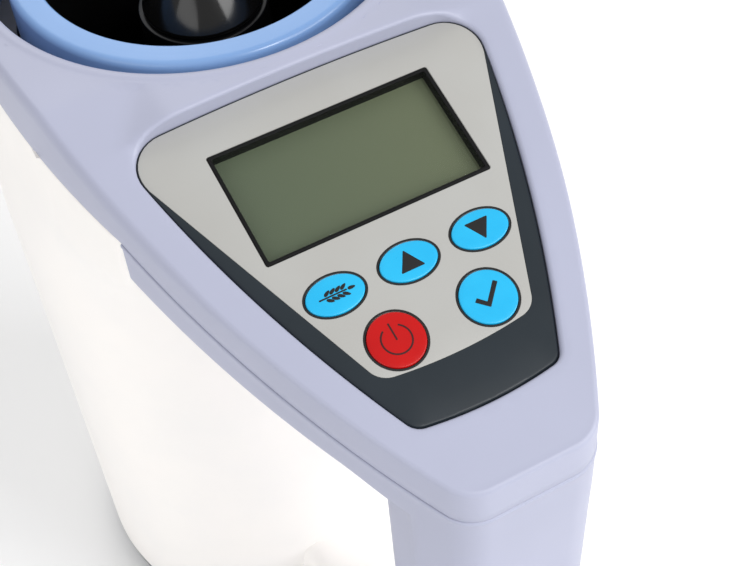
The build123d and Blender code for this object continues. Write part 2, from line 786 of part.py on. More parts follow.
def chamber_cup():
    """Dark carrier cup that holds the outer electrode and the floor."""
    place = Pos(0, chamber_y, cup_low)
    cup = place * Cylinder(cup_outer, cup_top - cup_low, align=LOW)
    return cup - Pos(0, chamber_y, cup_low + cup_floor) * Cylinder(
        chamber_radius + electrode_wall, FAR, align=LOW
    )


def outer_electrode():
    """Tube that lines the chamber."""
    low = chamber_floor_z - floor_thickness
    place = Pos(0, chamber_y, low)
    tube = place * Cylinder(chamber_radius + electrode_wall, cup_top - electrode_drop - low, align=LOW)
    return tube - place * Cylinder(chamber_radius, FAR, align=LOW)


def chamber_floor():
    """Insulating floor of the chamber."""
    place = Pos(0, chamber_y, chamber_floor_z - floor_thickness)
    disc = place * Cylinder(chamber_radius, floor_thickness, align=LOW)
    disc -= place * Cylinder(core_radius - floor_socket, floor_thickness - floor_web, align=LOW)
    return disc - Pos(probe_circle, chamber_y, 0) * Cylinder(probe_radius, FAR, align=LOW)


def core_electrode():
    """Upright hollow core of the chamber."""
    height = overall_height - cone_top_drop - cone_height - chamber_floor_z
    place = Pos(0, chamber_y, chamber_floor_z)
    core = place * Cylinder(core_radius, height, align=LOW)
    return core - place * Cylinder(core_radius - core_wall, height - core_wall, align=LOW)


def core_cone():
    """Cone on the core that spreads the falling grain."""
    high = overall_height - cone_top_drop - cone_height
    return Pos(0, chamber_y, high) * Cone(core_radius, cone_tip, cone_height, align=LOW)


def temperature_probe():
    """Probe pin that stands in the chamber floor."""
    low = chamber_floor_z - floor_thickness
    place = Pos(probe_circle, chamber_y, low)
    return place * Cylinder(probe_radius, floor_thickness + probe_height, align=LOW)


def meter_board():
    """Measuring circuit board under the cup."""
    place = Pos(0, chamber_y, cup_low)
    disc = place * Cylinder(meter_board_radius, board_thickness, align=HIGH)
    return disc - place * Cylinder(boss_radius + boss_gap, THROUGH)


def chamber_bracket():
    """Bracket from the middle of the cup to the free end of the beam."""
    low = beam_top + bracket_lift
    boss = Pos(0, chamber_y, low) * Cylinder(boss_radius, cup_low - low, align=LOW)
    reach = beam_length / 2
    plate = Pos(-boss_radius, chamber_y, low) * Box(
        reach + boss_radius, 2 * boss_radius, bracket_thickness, align=(Align.MIN, Align.CENTER, Align.MIN)
    )
    pad = Pos(reach, chamber_y, beam_top) * Box(
        pad_length, beam_side, bracket_lift, align=(Align.MAX, Align.CENTER, Align.MIN)
    )
    seat = low + bracket_thickness
    return bolt_holes(boss + plate + pad, beam_ends(1), seat, THROUGH)


def beam_half(side):
    """One half of the weighing beam, from its free or fixed end to the flexure."""
    length = (beam_length - beam_split) / 2
    middle = side * (beam_split / 2 + length / 2)
    bar = Pos(middle, chamber_y, beam_top) * Box(length, beam_side, beam_side, align=HIGH)
    hole = Pos(side * flexure_offset, chamber_y, beam_top - beam_side / 2) * Rot(90, 0, 0)
    return bar - hole * Cylinder(flexure_radius, FAR)


def bolt(x, y, seat, depth):
    """Socket bolt with its head on a seat."""
    head = Pos(x, y, seat) * Cylinder(*bolt_head, align=LOW)
    head -= Pos(x, y, seat + hex_floor) * extrude(RegularPolygon(hex_radius, 6), THROUGH)
    return head + Pos(x, y, seat) * Cylinder(bolt_radius, depth, align=HIGH)


def bolt_holes(part, places, seat, depth):
    """Cut the holes that a row of bolts passes through."""
    for x, y in places:
        part -= Pos(x, y, seat) * Cylinder(bolt_radius, depth, align=HIGH)
    return part


def beam_ends(side):
    """Places of the two bolts at one end of the beam."""
    outer = beam_length / 2 - bolt_end
    return [(side * outer, chamber_y), (side * (outer - bolt_pitch), chamber_y)]


def load_cell_fixed_half():
    """Fixed half of the weighing beam, bolted down to the pedestal."""
    return bolt_holes(beam_half(-1), beam_ends(-1), beam_top, THROUGH)


def load_cell_live_half():
    """Live half of the weighing beam, which carries the chamber."""
    return bolt_holes(beam_half(1), beam_ends(1), beam_top, beam_side - bolt_floor)


def load_cell_bolts():
    """Bolts that hold the beam to the pedestal."""
    return Compound([bolt(x, y, beam_top, beam_side + pedestal_bite) for x, y in beam_ends(-1)])


def bracket_bolts():
    """Bolts that hold the chamber bracket to the beam."""
    stack = bracket_lift + bracket_thickness
    depth = stack + beam_side - bolt_floor
    return Compound([bolt(x, y, beam_top + stack, depth) for x, y in beam_ends(1)])


def load_cell_pedestal():
    """Post that carries the fixed end of the beam."""
    place = Pos(pedestal_x, chamber_y, base_top)
    height = beam_top - beam_side - base_top
    inner_width = pedestal_width - 2 * pedestal_wall
    inner_depth = pedestal_depth - 2 * pedestal_wall
    foot_width = pedestal_width + 2 * pedestal_flange[0]
    foot_depth = pedestal_depth + 2 * pedestal_flange[1]
    post = place * Box(pedestal_width, pedestal_depth, height, align=LOW)
    post = fillet(post.edges().filter_by(Axis.Z), pedestal_round)
    post -= place * Box(inner_width, inner_depth, height - pedestal_head, align=LOW)
    post += place * Box(foot_width, foot_depth, pedestal_foot, align=LOW)
    for x, y in pedestal_places():
        post -= Pos(x, y, base_top) * Cylinder(screw_radius, THROUGH, align=LOW)
    return bolt_holes(post, beam_ends(-1), beam_top, beam_side + pedestal_bite)


def pedestal_places():
    """Places of the pedestal's screws."""
    out = pedestal_width / 2 + pedestal_screw_out
    sides = [pedestal_x - out, pedestal_x + out]
    return [(x, chamber_y + end * pedestal_screw_reach) for x in sides for end in (-1, 1)]


def pedestal_screws():
    """Screws that hold the pedestal to the base."""
    screws = []
    for x, y in pedestal_places():
        head = Pos(x, y, base_top + pedestal_foot) * Cylinder(*pedestal_head_size, align=LOW)
        screws.append(head + Pos(x, y, base_top) * Cylinder(screw_radius, pedestal_foot, align=LOW))
    return Compound(screws)


def holder_front():
    """Inner face of the battery holder's back wall."""
    corner = cell_length / 2 + holder_wall + holder_corner
    reach = sqrt((body_radius - wall - holder_skin_gap) ** 2 - corner**2)
    return chamber_y + reach - 2 * cell_radius - holder_spare


def cell_place(index):
    """Middle of one battery cell."""
    return (0, holder_front() + cell_radius, holder_low + cell_pitch * (index + 0.5))


def battery_holder():
    """Open-backed tray for the cells."""
    height = cell_count * cell_pitch
    inner_width = cell_length + 2 * contact_thickness + holder_spare
    width = inner_width + 2 * holder_wall
    depth = 2 * cell_radius
    low = holder_low - holder_wall
    tray = Pos(0, holder_front() - holder_wall, low) * Box(
        width, depth + holder_wall, height + 2 * holder_wall, align=LOW_FRONT
    )
    tray -= Pos(0, holder_front(), holder_low) * Box(
        inner_width, depth + holder_wall, height, align=LOW_FRONT
    )
    return tray + Pos(0, holder_front(), base_top) * Box(
        width - 2 * stand_inset, stand_depth, low - base_top, align=LOW_FRONT
    )


def battery_cell(index):
    """One cell with its positive nub, turned end for end from its neighbour."""
    can_length = cell_length - nub_length
    can = Rot(0, 90, 0) * Cylinder(cell_radius, can_length)
    nub = Pos(cell_length / 2, 0, 0) * Rot(0, 90, 0) * Cylinder(nub_radius, nub_length)
    cell = Pos(-nub_length / 2, 0, 0) * (can + nub)
    return Pos(*cell_place(index)) * Rot(0, 0, 180 * (index % 2)) * cell


def battery_contacts():
    """Spring plates at the ends of the cells."""
    reach = cell_length / 2 + contact_thickness / 2 + contact_gap
    plates = []
    for index in range(cell_count):
        x, y, z = cell_place(index)
        for side in (-1, 1):
            plates.append(Pos(x + side * reach, y, z) * Box(contact_thickness, contact_side, contact_side))
    return Compound(plates)


def write(name, shape):
    """Write one node."""
    export_step(shape, os.path.join("parts", name + ".step"))


NODES = {
    "top_cover": top_cover,
    "keypad_plate": keypad_plate,
    "panel_overlay": panel_overlay,
    "display_bezel": display_bezel,
    "display_window": display_window,
    "lcd_glass": lcd_glass,
    "lcd_backlight": lcd_backlight,
    "main_board": main_board,
    "board_parts": board_parts,
    "tact_switches": tact_switches,
    "board_screws": board_screws,
    "dust_guard": dust_guard,
    "body_shell": body_shell,
    "battery_door": battery_door,
    "base_plate": base_plate,
    "base_screws": base_screws,
    "handle_frame": handle_frame,
    "grip_cover": grip_cover,
    "grip_screws": grip_screws,
    "chamber_collar": chamber_collar,
    "chamber_cup": chamber_cup,
    "outer_electrode": outer_electrode,
    "chamber_floor": chamber_floor,
    "core_electrode": core_electrode,
    "core_cone": core_cone,
    "temperature_probe": temperature_probe,
    "meter_board": meter_board,
    "chamber_bracket": chamber_bracket,
    "bracket_bolts": bracket_bolts,
    "load_cell_live_half": load_cell_live_half,
    "load_cell_fixed_half": load_cell_fixed_half,
    "load_cell_bolts": load_cell_bolts,
    "load_cell_pedestal": load_cell_pedestal,
    "pedestal_screws": pedestal_screws,
    "battery_holder": battery_holder,
    "battery_contacts": battery_contacts,
}


def main():
    """Build every node and write it."""
    os.makedirs("parts", exist_ok=True)
    for name, build in NODES.items():
        write(name, build())
    for name in KEYS:
        write(name, key_cap(name))
    for index in range(4):
        write("rubber_foot_%d" % (index + 1), rubber_foot(index))
    for index in range(cell_count):
        write("battery_cell_%d" % (index + 1), battery_cell(index))


main()
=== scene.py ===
"""Looks of a bench grain moisture meter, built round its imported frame.

Sizes are millimetres until a mesh is made, and the frame is metres. X runs to the reader's right, -Y towards
the reader, +Z up. Panel places are (u, v, n): u along X, v up the slope, n out of the sloped panel.
"""

import json
import logging
import math
from dataclasses import dataclass
from enum import Enum
from functools import cached_property
from typing import Callable, Optional, Sequence

import bmesh
import bpy
import numpy as np
from mathutils import Matrix, Quaternion, Vector
from mathutils.geometry import delaunay_2d_cdt


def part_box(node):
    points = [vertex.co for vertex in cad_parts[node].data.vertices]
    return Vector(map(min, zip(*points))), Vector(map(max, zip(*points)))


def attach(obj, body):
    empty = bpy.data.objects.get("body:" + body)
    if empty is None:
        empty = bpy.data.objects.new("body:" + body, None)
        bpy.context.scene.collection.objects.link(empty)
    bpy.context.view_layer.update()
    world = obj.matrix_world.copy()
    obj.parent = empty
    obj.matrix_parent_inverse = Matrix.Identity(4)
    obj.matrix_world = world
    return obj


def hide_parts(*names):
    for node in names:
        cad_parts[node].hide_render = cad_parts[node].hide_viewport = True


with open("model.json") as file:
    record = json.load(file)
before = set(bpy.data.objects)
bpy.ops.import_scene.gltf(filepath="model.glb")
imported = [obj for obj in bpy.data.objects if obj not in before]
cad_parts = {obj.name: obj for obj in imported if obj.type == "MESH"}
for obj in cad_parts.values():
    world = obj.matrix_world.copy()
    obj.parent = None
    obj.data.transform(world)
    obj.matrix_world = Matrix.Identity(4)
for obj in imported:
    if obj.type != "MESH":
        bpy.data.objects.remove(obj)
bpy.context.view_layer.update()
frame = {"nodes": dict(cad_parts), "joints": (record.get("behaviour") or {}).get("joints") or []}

MM = 0.001
TURN = 2 * math.pi
LOG = logging.getLogger("moisture_meter")

Place = Callable[[float, float, float], Vector]
Profile = list[tuple[float, float]]


def srgb(red: int, green: int, blue: int) -> tuple[float, float, float]:
    """Linear colour of a display colour given in 0 to 255."""
    return tuple(
        ((c / 255 + 0.055) / 1.055) ** 2.4 if c > 10 else c / 255 / 12.92 for c in (red, green, blue)
    )


def smooth(low: float, high: float, value: float) -> float:
    """Smooth step from 0 at low to 1 at high."""
    share = min(1.0, max(0.0, (value - low) / (high - low)))
    return share * share * (3 - 2 * share)


def mix(a: float, b: float, share: float) -> float:
    """Value that lies a share of the way from a to b."""
    return a + (b - a) * share


def soft_max(a: float, b: float, blend: float) -> float:
    """Larger of two heights, rounded where they cross."""
    return (a + b + math.sqrt((a - b) ** 2 + blend**2)) / 2


def node_box(name: str) -> tuple[Vector, Vector]:
    """Lowest and highest corner of a frame node, in millimetres."""
    low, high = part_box(name)
    return low / MM, high / MM


# ---------------------------------------------------------------- outlines


def arc(centre: Sequence[float], radius: float, start: float, end: float, steps: int) -> list[Vector]:
    """Points of a circular arc.

    Args:
        centre: Middle of the arc.
        radius: Its radius.
        start: First angle in degrees.
        end: Last angle in degrees.
        steps: Number of spans.

    Returns:
        The points, with both ends.
    """
    turns = [math.radians(mix(start, end, i / steps)) for i in range(steps + 1)]
    return [Vector((centre[0] + radius * math.cos(t), centre[1] + radius * math.sin(t))) for t in turns]


def line(start: Sequence[float], end: Sequence[float], steps: int) -> list[Vector]:
    """Points of a straight run, with both ends."""
    a, b = Vector(start[:2]), Vector(end[:2])
    return [a.lerp(b, i / steps) for i in range(steps + 1)]


def spaced(points: Sequence[Vector], step: float) -> list[Vector]:
    """The same run of points, spaced evenly at about a step."""
    co = np.array([p[:] for p in points])
    along = np.concatenate([[0], np.cumsum(np.linalg.norm(np.diff(co, axis=0), axis=1))])
    count = max(1, round(along[-1] / step))
    wanted = np.linspace(0, along[-1], count + 1)
    return [Vector((np.interp(w, along, co[:, 0]), np.interp(w, along, co[:, 1]))) for w in wanted]


def rounded(
    points: Sequence[Sequence[float]], radii: Sequence[float] | float, steps: int = 6
) -> list[Vector]:
    """Closed polygon with its corners rounded.

    Args:
        points: Corners in order.
        radii: One radius for all corners, or one for each.
        steps: Spans in each rounding.

    Returns:
        The points of the rounded polygon, the same number for any sizes.
    """
    corners = [Vector(p[:2]) for p in points]
    each = [radii] * len(corners) if isinstance(radii, (int, float)) else list(radii)
    out = []
    for i, (corner, radius) in enumerate(zip(corners, each)):
        back = (corners[i - 1] - corner).normalized()
        ahead = (corners[(i + 1) % len(corners)] - corner).normalized()
        half = back.angle(ahead) / 2
        cut = radius / math.tan(half)
        centre = corner + (back + ahead).normalized() * radius / math.sin(half)
        first, last = corner + back * cut - centre, corner + ahead * cut - centre
        swing = first.angle_signed(last) if radius > 1e-6 else 0.0
        for k in range(steps + 1):
            turn = -swing * k / steps
            spoke = Vector((
                first.x * math.cos(turn) - first.y * math.sin(turn),
                first.x * math.sin(turn) + first.y * math.cos(turn),
            ))
            out.append(centre + spoke)
    return out


def inward(points: Sequence[Vector], distance: float) -> list[Vector]:
    """An open run of points moved to its left."""
    out = []
    for i, point in enumerate(points):
        along = (points[min(i + 1, len(points) - 1)] - points[max(i - 1, 0)]).normalized()
        out.append(point + Vector((-along.y, along.x)) * distance)
    return out


def join_sides(sides: Sequence[list[Vector]], radii: Sequence[float], step: float) -> list[Vector]:
    """Closed anticlockwise loop of curved sides, with a rounding after each side.

    Args:
        sides: Finely sampled sides in order.
        radii: Rounding between each side and the next, or 0 where they already run on.
        step: Spacing along the sides.

    Returns:
        The points of the loop.
    """
    fine = [spaced(side, 0.12) for side in sides]
    starts, ends, bends = [0] * len(fine), [len(side) - 1 for side in fine], [[] for _ in fine]
    for i, radius in enumerate(radii):
        if radius <= 0:
            continue
        j = (i + 1) % len(fine)
        a = np.array([p[:] for p in inward(fine[i], radius)])
        b = np.array([p[:] for p in inward(fine[j], radius)])
        gap = np.linalg.norm(a[:, None] - b[None], axis=2)
        ends[i], starts[j] = (int(k) for k in np.unravel_index(np.argmin(gap), gap.shape))
        centre = (Vector(a[ends[i]]) + Vector(b[starts[j]])) / 2
        first, last = fine[i][ends[i]] - centre, fine[j][starts[j]] - centre
        low = math.degrees(math.atan2(first.y, first.x))
        high = low + math.degrees((math.atan2(last.y, last.x) - math.radians(low)) % TURN)
        bends[i] = arc(centre, radius, low, high, 10)[1:-1]
    loop = []
    for i, side in enumerate(fine):
        run = spaced(side[starts[i]:ends[i] + 1], step)
        loop += run if radii[i] > 0 else run[:-1]
        loop += bends[i]
    return loop


@dataclass(frozen=True)
class Outline:
    """Closed anticlockwise loop that can be grown evenly."""

    points: tuple[Vector, ...]

    @classmethod
    def of(cls, points: Sequence[Vector]) -> "Outline":
        """Outline from any run of points."""
        return cls(tuple(Vector(p[:2]) for p in points))

    @classmethod
    def ellipse(cls, centre: Sequence[float], half_u: float, half_v: float, steps: int = 72) -> "Outline":
        """Ellipse about a centre."""
        turns = [TURN * i / steps for i in range(steps)]
        return cls.of([
            Vector((centre[0] + half_u * math.cos(t), centre[1] + half_v * math.sin(t))) for t in turns
        ])

    @classmethod
    def box(cls, low: Sequence[float], high: Sequence[float], radius: float) -> "Outline":
        """Rectangle with rounded corners."""
        corners = [(low[0], low[1]), (high[0], low[1]), (high[0], high[1]), (low[0], high[1])]
        return cls.of(rounded(corners, radius))

    @cached_property
    def normals(self) -> list[Vector]:
        """Outward direction at each point."""
        out = []
        for i in range(len(self.points)):
            along = self.points[(i + 1) % len(self.points)] - self.points[i - 1]
            out.append(Vector((along.y, -along.x)).normalized())
        return out

    def grown(self, distance: float | Sequence[float]) -> list[Vector]:
        """The loop moved outwards, by one distance or by one for each point."""
        each = [distance] * len(self.points) if isinstance(distance, (int, float)) else distance
        return [p + n * d for p, n, d in zip(self.points, self.normals, each)]


def inside(points: np.ndarray, loop: np.ndarray) -> np.ndarray:
    """Which of some flat points lie inside a closed loop."""
    result = np.zeros(len(points), bool)
    x, y = points[:, 0], points[:, 1]
    for (x1, y1), (x2, y2) in zip(loop, np.roll(loop, -1, axis=0)):
        if y1 != y2:
            crosses = ((y1 > y) != (y2 > y)) & (x < (x2 - x1) * (y - y1) / (y2 - y1) + x1)
            result ^= crosses
    return result


# ---------------------------------------------------------------- meshes


class Skin:
    """Points and faces of a mesh in the making, in millimetres."""

    def __init__(self) -> None:
        """Starts empty."""
        self.points: list[Vector] = []
        self.faces: list[tuple[int, ...]] = []

    def ring(self, points: Sequence[Vector]) -> list[int]:
        """Adds points and returns their numbers."""
        first = len(self.points)
        self.points += [Vector(p) for p in points]
        return list(range(first, len(self.points)))

    def strip(self, low: Sequence[int], high: Sequence[int], closed: bool = True) -> None:
        """Joins two rings of the same length with quads."""
        count = len(low)
        for i in range(count if closed else count - 1):
            j = (i + 1) % count
            self.faces.append((low[i], low[j], high[j], high[i]))

    def stack(self, rings: Sequence[Sequence[Vector]], closed: bool = True) -> list[list[int]]:
        """Adds rings one above another and joins them."""
        made = [self.ring(r) for r in rings]
        for low, high in zip(made, made[1:]):
            self.strip(low, high, closed)
        return made

    def fill(
        self,
        outer: Sequence[int],
        holes: Sequence[Sequence[int]],
        flat: Callable[[Vector], Vector],
        lift: Optional[Callable[[float, float], Vector]] = None,
        step: float = 0.0,
        flip: bool = False,
    ) -> None:
        """Fills the space between loops with triangles.

        Args:
            outer: Point numbers of the outer loop.
            holes: Point numbers of each hole.
            flat: Turns a point into its flat place.
            lift: Turns a flat place into a point, for the points added inside.
            step: Spacing of the points added inside, or 0 for none.
            flip: True for a face that looks the other way.
        """
        loops = [list(outer)] + [list(h) for h in holes]
        flats = [np.array([flat(self.points[i])[:2] for i in loop]) for loop in loops]
        numbers = [i for loop in loops for i in loop]
        places = [Vector(p) for loop in flats for p in loop]
        edges, first = [], 0
        for loop in loops:
            edges += [(first + i, first + (i + 1) % len(loop)) for i in range(len(loop))]
            first += len(loop)
        if lift and step:
            low, high = flats[0].min(0), flats[0].max(0)
            rows = np.arange(low[1], high[1], step * 0.87)
            grid = np.array([
                (x + (k % 2) * step / 2, y)
                for k, y in enumerate(rows) for x in np.arange(low[0], high[0], step)
            ])
            keep = inside(grid, flats[0])
            for hole in flats[1:]:
                keep &= ~inside(grid, hole)
            grid = grid[keep]
            edge = np.concatenate(flats)
            clear = np.array([np.min(np.sum((edge - p) ** 2, axis=1)) for p in grid]) > (0.62 * step) ** 2
            for p in grid[clear]:
                numbers.append(len(self.points))
                self.points.append(lift(float(p[0]), float(p[1])))
                places.append(Vector(p))
        co, _, faces, origins, _, _ = delaunay_2d_cdt(places, edges, [], 0, 1e-7)
        middles = np.array([sum((co[i] for i in f), Vector((0, 0)))[:] for f in faces]) / 3
        keep = inside(middles, flats[0])
        for hole in flats[1:]:
            keep &= ~inside(middles, hole)
        for face, wanted in zip(faces, keep):
            if wanted:
                if any(not origins[i] for i in face):
                    raise ValueError("two loops of a filled face cross each other")
                ids = [numbers[origins[i][0]] for i in face]
                self.faces.append(tuple(reversed(ids)) if flip else tuple(ids))

    def lathe(self, profile: Profile | Sequence[Vector], centre: Sequence[float], steps: int = 96) -> None:
        """Turns a closed profile of (radius, height) about an upright axis."""
        rings = []
        for radius, height in [tuple(p) for p in profile]:
            if radius < 1e-5:
                rings.append(self.ring([Vector((centre[0], centre[1], height))]) * steps)
                continue
            turns = [TURN * i / steps for i in range(steps)]
            rings.append(self.ring([
                Vector((centre[0] + radius * math.cos(t), centre[1] + radius * math.sin(t), height))
                for t in turns
            ]))
        for low, high in zip(rings, rings[1:] + rings[:1]):
            for i in range(steps):
                j = (i + 1) % steps
                corners = tuple(dict.fromkeys((low[i], low[j], high[j], high[i])))
                if len(corners) > 2:
                    self.faces.append(corners)

    def mesh(self, name: str, closed: bool = True, crease: float = 35.0) -> bpy.types.Object:
        """Makes the object.

        Args:
            name: Name of the piece.
            closed: True if the skin bounds a volume, so that its faces can be turned outwards.
            crease: Angle in degrees past which an edge is shaded sharp.

        Returns:
            The object, at the origin, with its place in its mesh.
        """
        data = bpy.data.meshes.new(name)
        data.from_pydata([tuple(p * MM) for p in self.points], [], self.faces)
        piece = bpy.data.objects.new(name, data)
        bpy.context.scene.collection.objects.link(piece)
        work = bmesh.new()
        work.from_mesh(data)
        bmesh.ops.remove_doubles(work, verts=work.verts, dist=2e-7)
        loose = [v for v in work.verts if not v.link_faces]
        bmesh.ops.delete(work, geom=loose, context="VERTS")
        if closed:
            bmesh.ops.recalc_face_normals(work, faces=work.faces)
        work.to_mesh(data)
        work.free()
        shade(piece, crease)
        return piece


def shade(piece: bpy.types.Object, crease: float) -> None:
    """Shades a mesh smooth, with edges past an angle in degrees left sharp."""
    piece.data.shade_smooth()
    piece.data.set_sharp_from_angle(angle=math.radians(crease))


def settle_modifiers(piece: bpy.types.Object) -> None:
    """Turns the result of a piece's modifiers into its plain mesh."""
    shown = piece.evaluated_get(bpy.context.evaluated_depsgraph_get())
    done = bpy.data.meshes.new_from_object(shown)
    piece.modifiers.clear()
    piece.data = done


def thicken(piece: bpy.types.Object, wall: float) -> None:
    """Gives an open skin its wall, on the inner side."""
    solid = piece.modifiers.new("wall", "SOLIDIFY")
    solid.thickness = wall * MM
    solid.offset = -1.0
    settle_modifiers(piece)


def cut(piece: bpy.types.Object, tool: bpy.types.Object) -> None:
    """Cuts a closed tool out of a closed piece, and removes the tool."""
    knife = piece.modifiers.new("cut", "BOOLEAN")
    knife.operation = "DIFFERENCE"
    knife.solver = "EXACT"
    knife.object = tool
    settle_modifiers(piece)
    bpy.data.objects.remove(tool)


def slab(
    skin: Skin,
    place: Place,
    outline: Outline,
    low: float,
    high: float,
    edge: float | Sequence[float] = 0.2,
    holes: Sequence[Outline] = (),
    pocket: Optional[Outline] = None,
    pocket_depth: float = 0.0,
    fill_step: float = 0.0,
) -> None:
    """Plate with a rounded upper edge, holes and a pocket in its upper face.

    Args:
        skin: Mesh that the plate is added to.
        place: Turns (u, v, n) into a point.
        outline: Outer loop.
        low: Underside.
        high: Upper face.
        edge: Rounding of the upper edge, or one rounding for each point of the outer loop.
        holes: Loops of the holes that go right through.
        pocket: Loop of a shallow pocket round the holes.
        pocket_depth: Depth of that pocket.
        fill_step: Spacing of extra points in the upper face, for a face that is curved.
    """
    flats: dict[int, Vector] = {}

    def level(points: Sequence[Vector], n: float | Sequence[float]) -> list[int]:
        depths = [n] * len(points) if isinstance(n, (int, float)) else n
        ring = skin.ring([place(p.x, p.y, d) for p, d in zip(points, depths)])
        flats.update(zip(ring, points))
        return ring

    def flat_of(ring: Sequence[int]) -> None:
        for number in ring:
            by_point[tuple(skin.points[number])] = flats[number]

    by_point: dict[tuple[float, ...], Vector] = {}
    turns = [math.radians(90 * k / 3) for k in range(4)]
    edges = [edge] * len(outline.points) if isinstance(edge, (int, float)) else list(edge)
    rings = [level(outline.grown(0.0), low)]
    rings += [
        level(outline.grown([-e * (1 - math.cos(t)) for e in edges]),
              [high - e * (1 - math.sin(t)) for e in edges])
        for t in turns
    ]
    for below, above in zip(rings, rings[1:]):
        skin.strip(below, above)
    floor = high - pocket_depth if pocket else high
    mouths, feet = [], []
    for hole in holes:
        lip = min(max(edges), 0.15)
        steps = ((0.0, low), (0.0, floor - lip), (lip, floor))
        levels = [level(hole.grown(grow), n) for grow, n in steps]
        for below, above in zip(levels, levels[1:]):
            skin.strip(above, below)
        mouths.append(levels[-1])
        feet.append(levels[0])
    top_holes = mouths
    if pocket:
        bottom, brim = level(pocket.grown(0.0), floor), level(pocket.grown(0.0), high)
        skin.strip(brim, bottom)
        top_holes = [brim]
    for ring in [*rings, *mouths, *feet] + ([bottom, brim] if pocket else []):
        flat_of(ring)

    def flat(point: Vector) -> Vector:
        return by_point[tuple(point)]

    lift = (lambda u, v: place(u, v, high)) if fill_step else None
    skin.fill(rings[-1], top_holes, flat, lift, fill_step)
    if pocket:
        skin.fill(bottom, mouths, flat)
    skin.fill(rings[0], feet, flat, flip=True)


# ---------------------------------------------------------------- finishes


class Grain(Enum):
    """Surface character of a finish."""

    MOULDED = "moulded"
    PRINTED = "printed"
    BRUSHED = "brushed"
    RUBBER = "rubber"
    GLASSY = "glassy"
    BOARD = "board"


@dataclass(frozen=True)
class Finish:
    """One finish, with fine relief, soft uneven colour and uneven gloss.

    Relief sizes are millimetres. The second colour is what the first drifts towards in patches.
    """

    name: str
    slot: str
    colour: tuple[float, float, float]
    drift: tuple[float, float, float]
    roughness: float = 0.4
    rough_spread: float = 0.08
    metallic: float = 0.0
    coat: float = 0.0
    relief: float = 0.01
    relief_size: float = 0.5
    patch_size: float = 25.0
    grain: Grain = Grain.MOULDED
    alpha: float = 1.0
    sheen: float = 0.0
    mirror: float = 0.5

    def material(self) -> bpy.types.Material:
        """The finish as a material, made once."""
        made = bpy.data.materials.get(self.name)
        if made:
            return made
        made = bpy.data.materials.new(self.name)
        made.use_nodes = True
        made.diffuse_color = (*self.colour, self.alpha)
        tree = made.node_tree
        shader = next(n for n in tree.nodes if n.type == "BSDF_PRINCIPLED")
        shader.inputs["Metallic"].default_value = self.metallic
        shader.inputs["Coat Weight"].default_value = self.coat
        shader.inputs["Coat Roughness"].default_value = 0.12
        shader.inputs["Alpha"].default_value = self.alpha
        shader.inputs["Sheen Weight"].default_value = self.sheen
        shader.inputs["Specular IOR Level"].default_value = self.mirror
        space = self._space(tree)
        self._colour(tree, space, shader)
        self._gloss(tree, space, shader)
        if self.relief > 0:
            self._relief(tree, space, shader)
        return made

    def _space(self, tree: bpy.types.NodeTree) -> bpy.types.NodeSocket:
        """Object coordinates, drawn out along Z for a brushed finish."""
        place = tree.nodes.new("ShaderNodeTexCoord")
        if self.grain is not Grain.BRUSHED:
            return place.outputs["Object"]
        pull = tree.nodes.new("ShaderNodeMapping")
        pull.inputs["Scale"].default_value = (0.04, 1.0, 1.0)
        tree.links.new(place.outputs["Object"], pull.inputs["Vector"])
        return pull.outputs["Vector"]

    def _noise(
        self, tree: bpy.types.NodeTree, space: bpy.types.NodeSocket, size: float, detail: float
    ) -> bpy.types.Node:
        """Noise with features of a size in millimetres."""
        noise = tree.nodes.new("ShaderNodeTexNoise")
        noise.inputs["Scale"].default_value = 1 / (size * MM)
        noise.inputs["Detail"].default_value = detail
        tree.links.new(space, noise.inputs["Vector"])
        return noise

    def _colour(self, tree: bpy.types.NodeTree, space: bpy.types.NodeSocket, shader: bpy.types.Node) -> None:
        """Colour that drifts in soft patches."""
        patches = self._noise(tree, space, self.patch_size, 3.0)
        ramp = tree.nodes.new("ShaderNodeValToRGB")
        ramp.color_ramp.elements[0].position = 0.3
        ramp.color_ramp.elements[0].color = (*self.colour, 1)
        ramp.color_ramp.elements[1].position = 0.7
        ramp.color_ramp.elements[1].color = (*self.drift, 1)
        tree.links.new(patches.outputs["Fac"], ramp.inputs["Fac"])
        tree.links.new(ramp.outputs["Color"], shader.inputs["Base Color"])

    def _gloss(self, tree: bpy.types.NodeTree, space: bpy.types.NodeSocket, shader: bpy.types.Node) -> None:
        """Roughness that varies a little, as handling leaves it."""
        rub = self._noise(tree, space, self.patch_size / 3, 4.0)
        span = tree.nodes.new("ShaderNodeMapRange")
        span.inputs["To Min"].default_value = max(0.02, self.roughness - self.rough_spread)
        span.inputs["To Max"].default_value = self.roughness + self.rough_spread
        tree.links.new(rub.outputs["Fac"], span.inputs["Value"])
        tree.links.new(span.outputs["Result"], shader.inputs["Roughness"])

    def _relief(self, tree: bpy.types.NodeTree, space: bpy.types.NodeSocket, shader: bpy.types.Node) -> None:
        """Fine relief of the surface."""
        if self.grain in (Grain.RUBBER, Grain.BOARD):
            source = tree.nodes.new("ShaderNodeTexVoronoi")
            source.inputs["Scale"].default_value = 1 / (self.relief_size * MM)
            tree.links.new(space, source.inputs["Vector"])
            height = source.outputs["Distance"]
        else:
            height = self._noise(tree, space, self.relief_size, 2.0).outputs["Fac"]
        bump = tree.nodes.new("ShaderNodeBump")
        bump.inputs["Strength"].default_value = 1.0
        bump.inputs["Distance"].default_value = self.relief * MM
        tree.links.new(height, bump.inputs["Height"])
        tree.links.new(bump.outputs["Normal"], shader.inputs["Normal"])


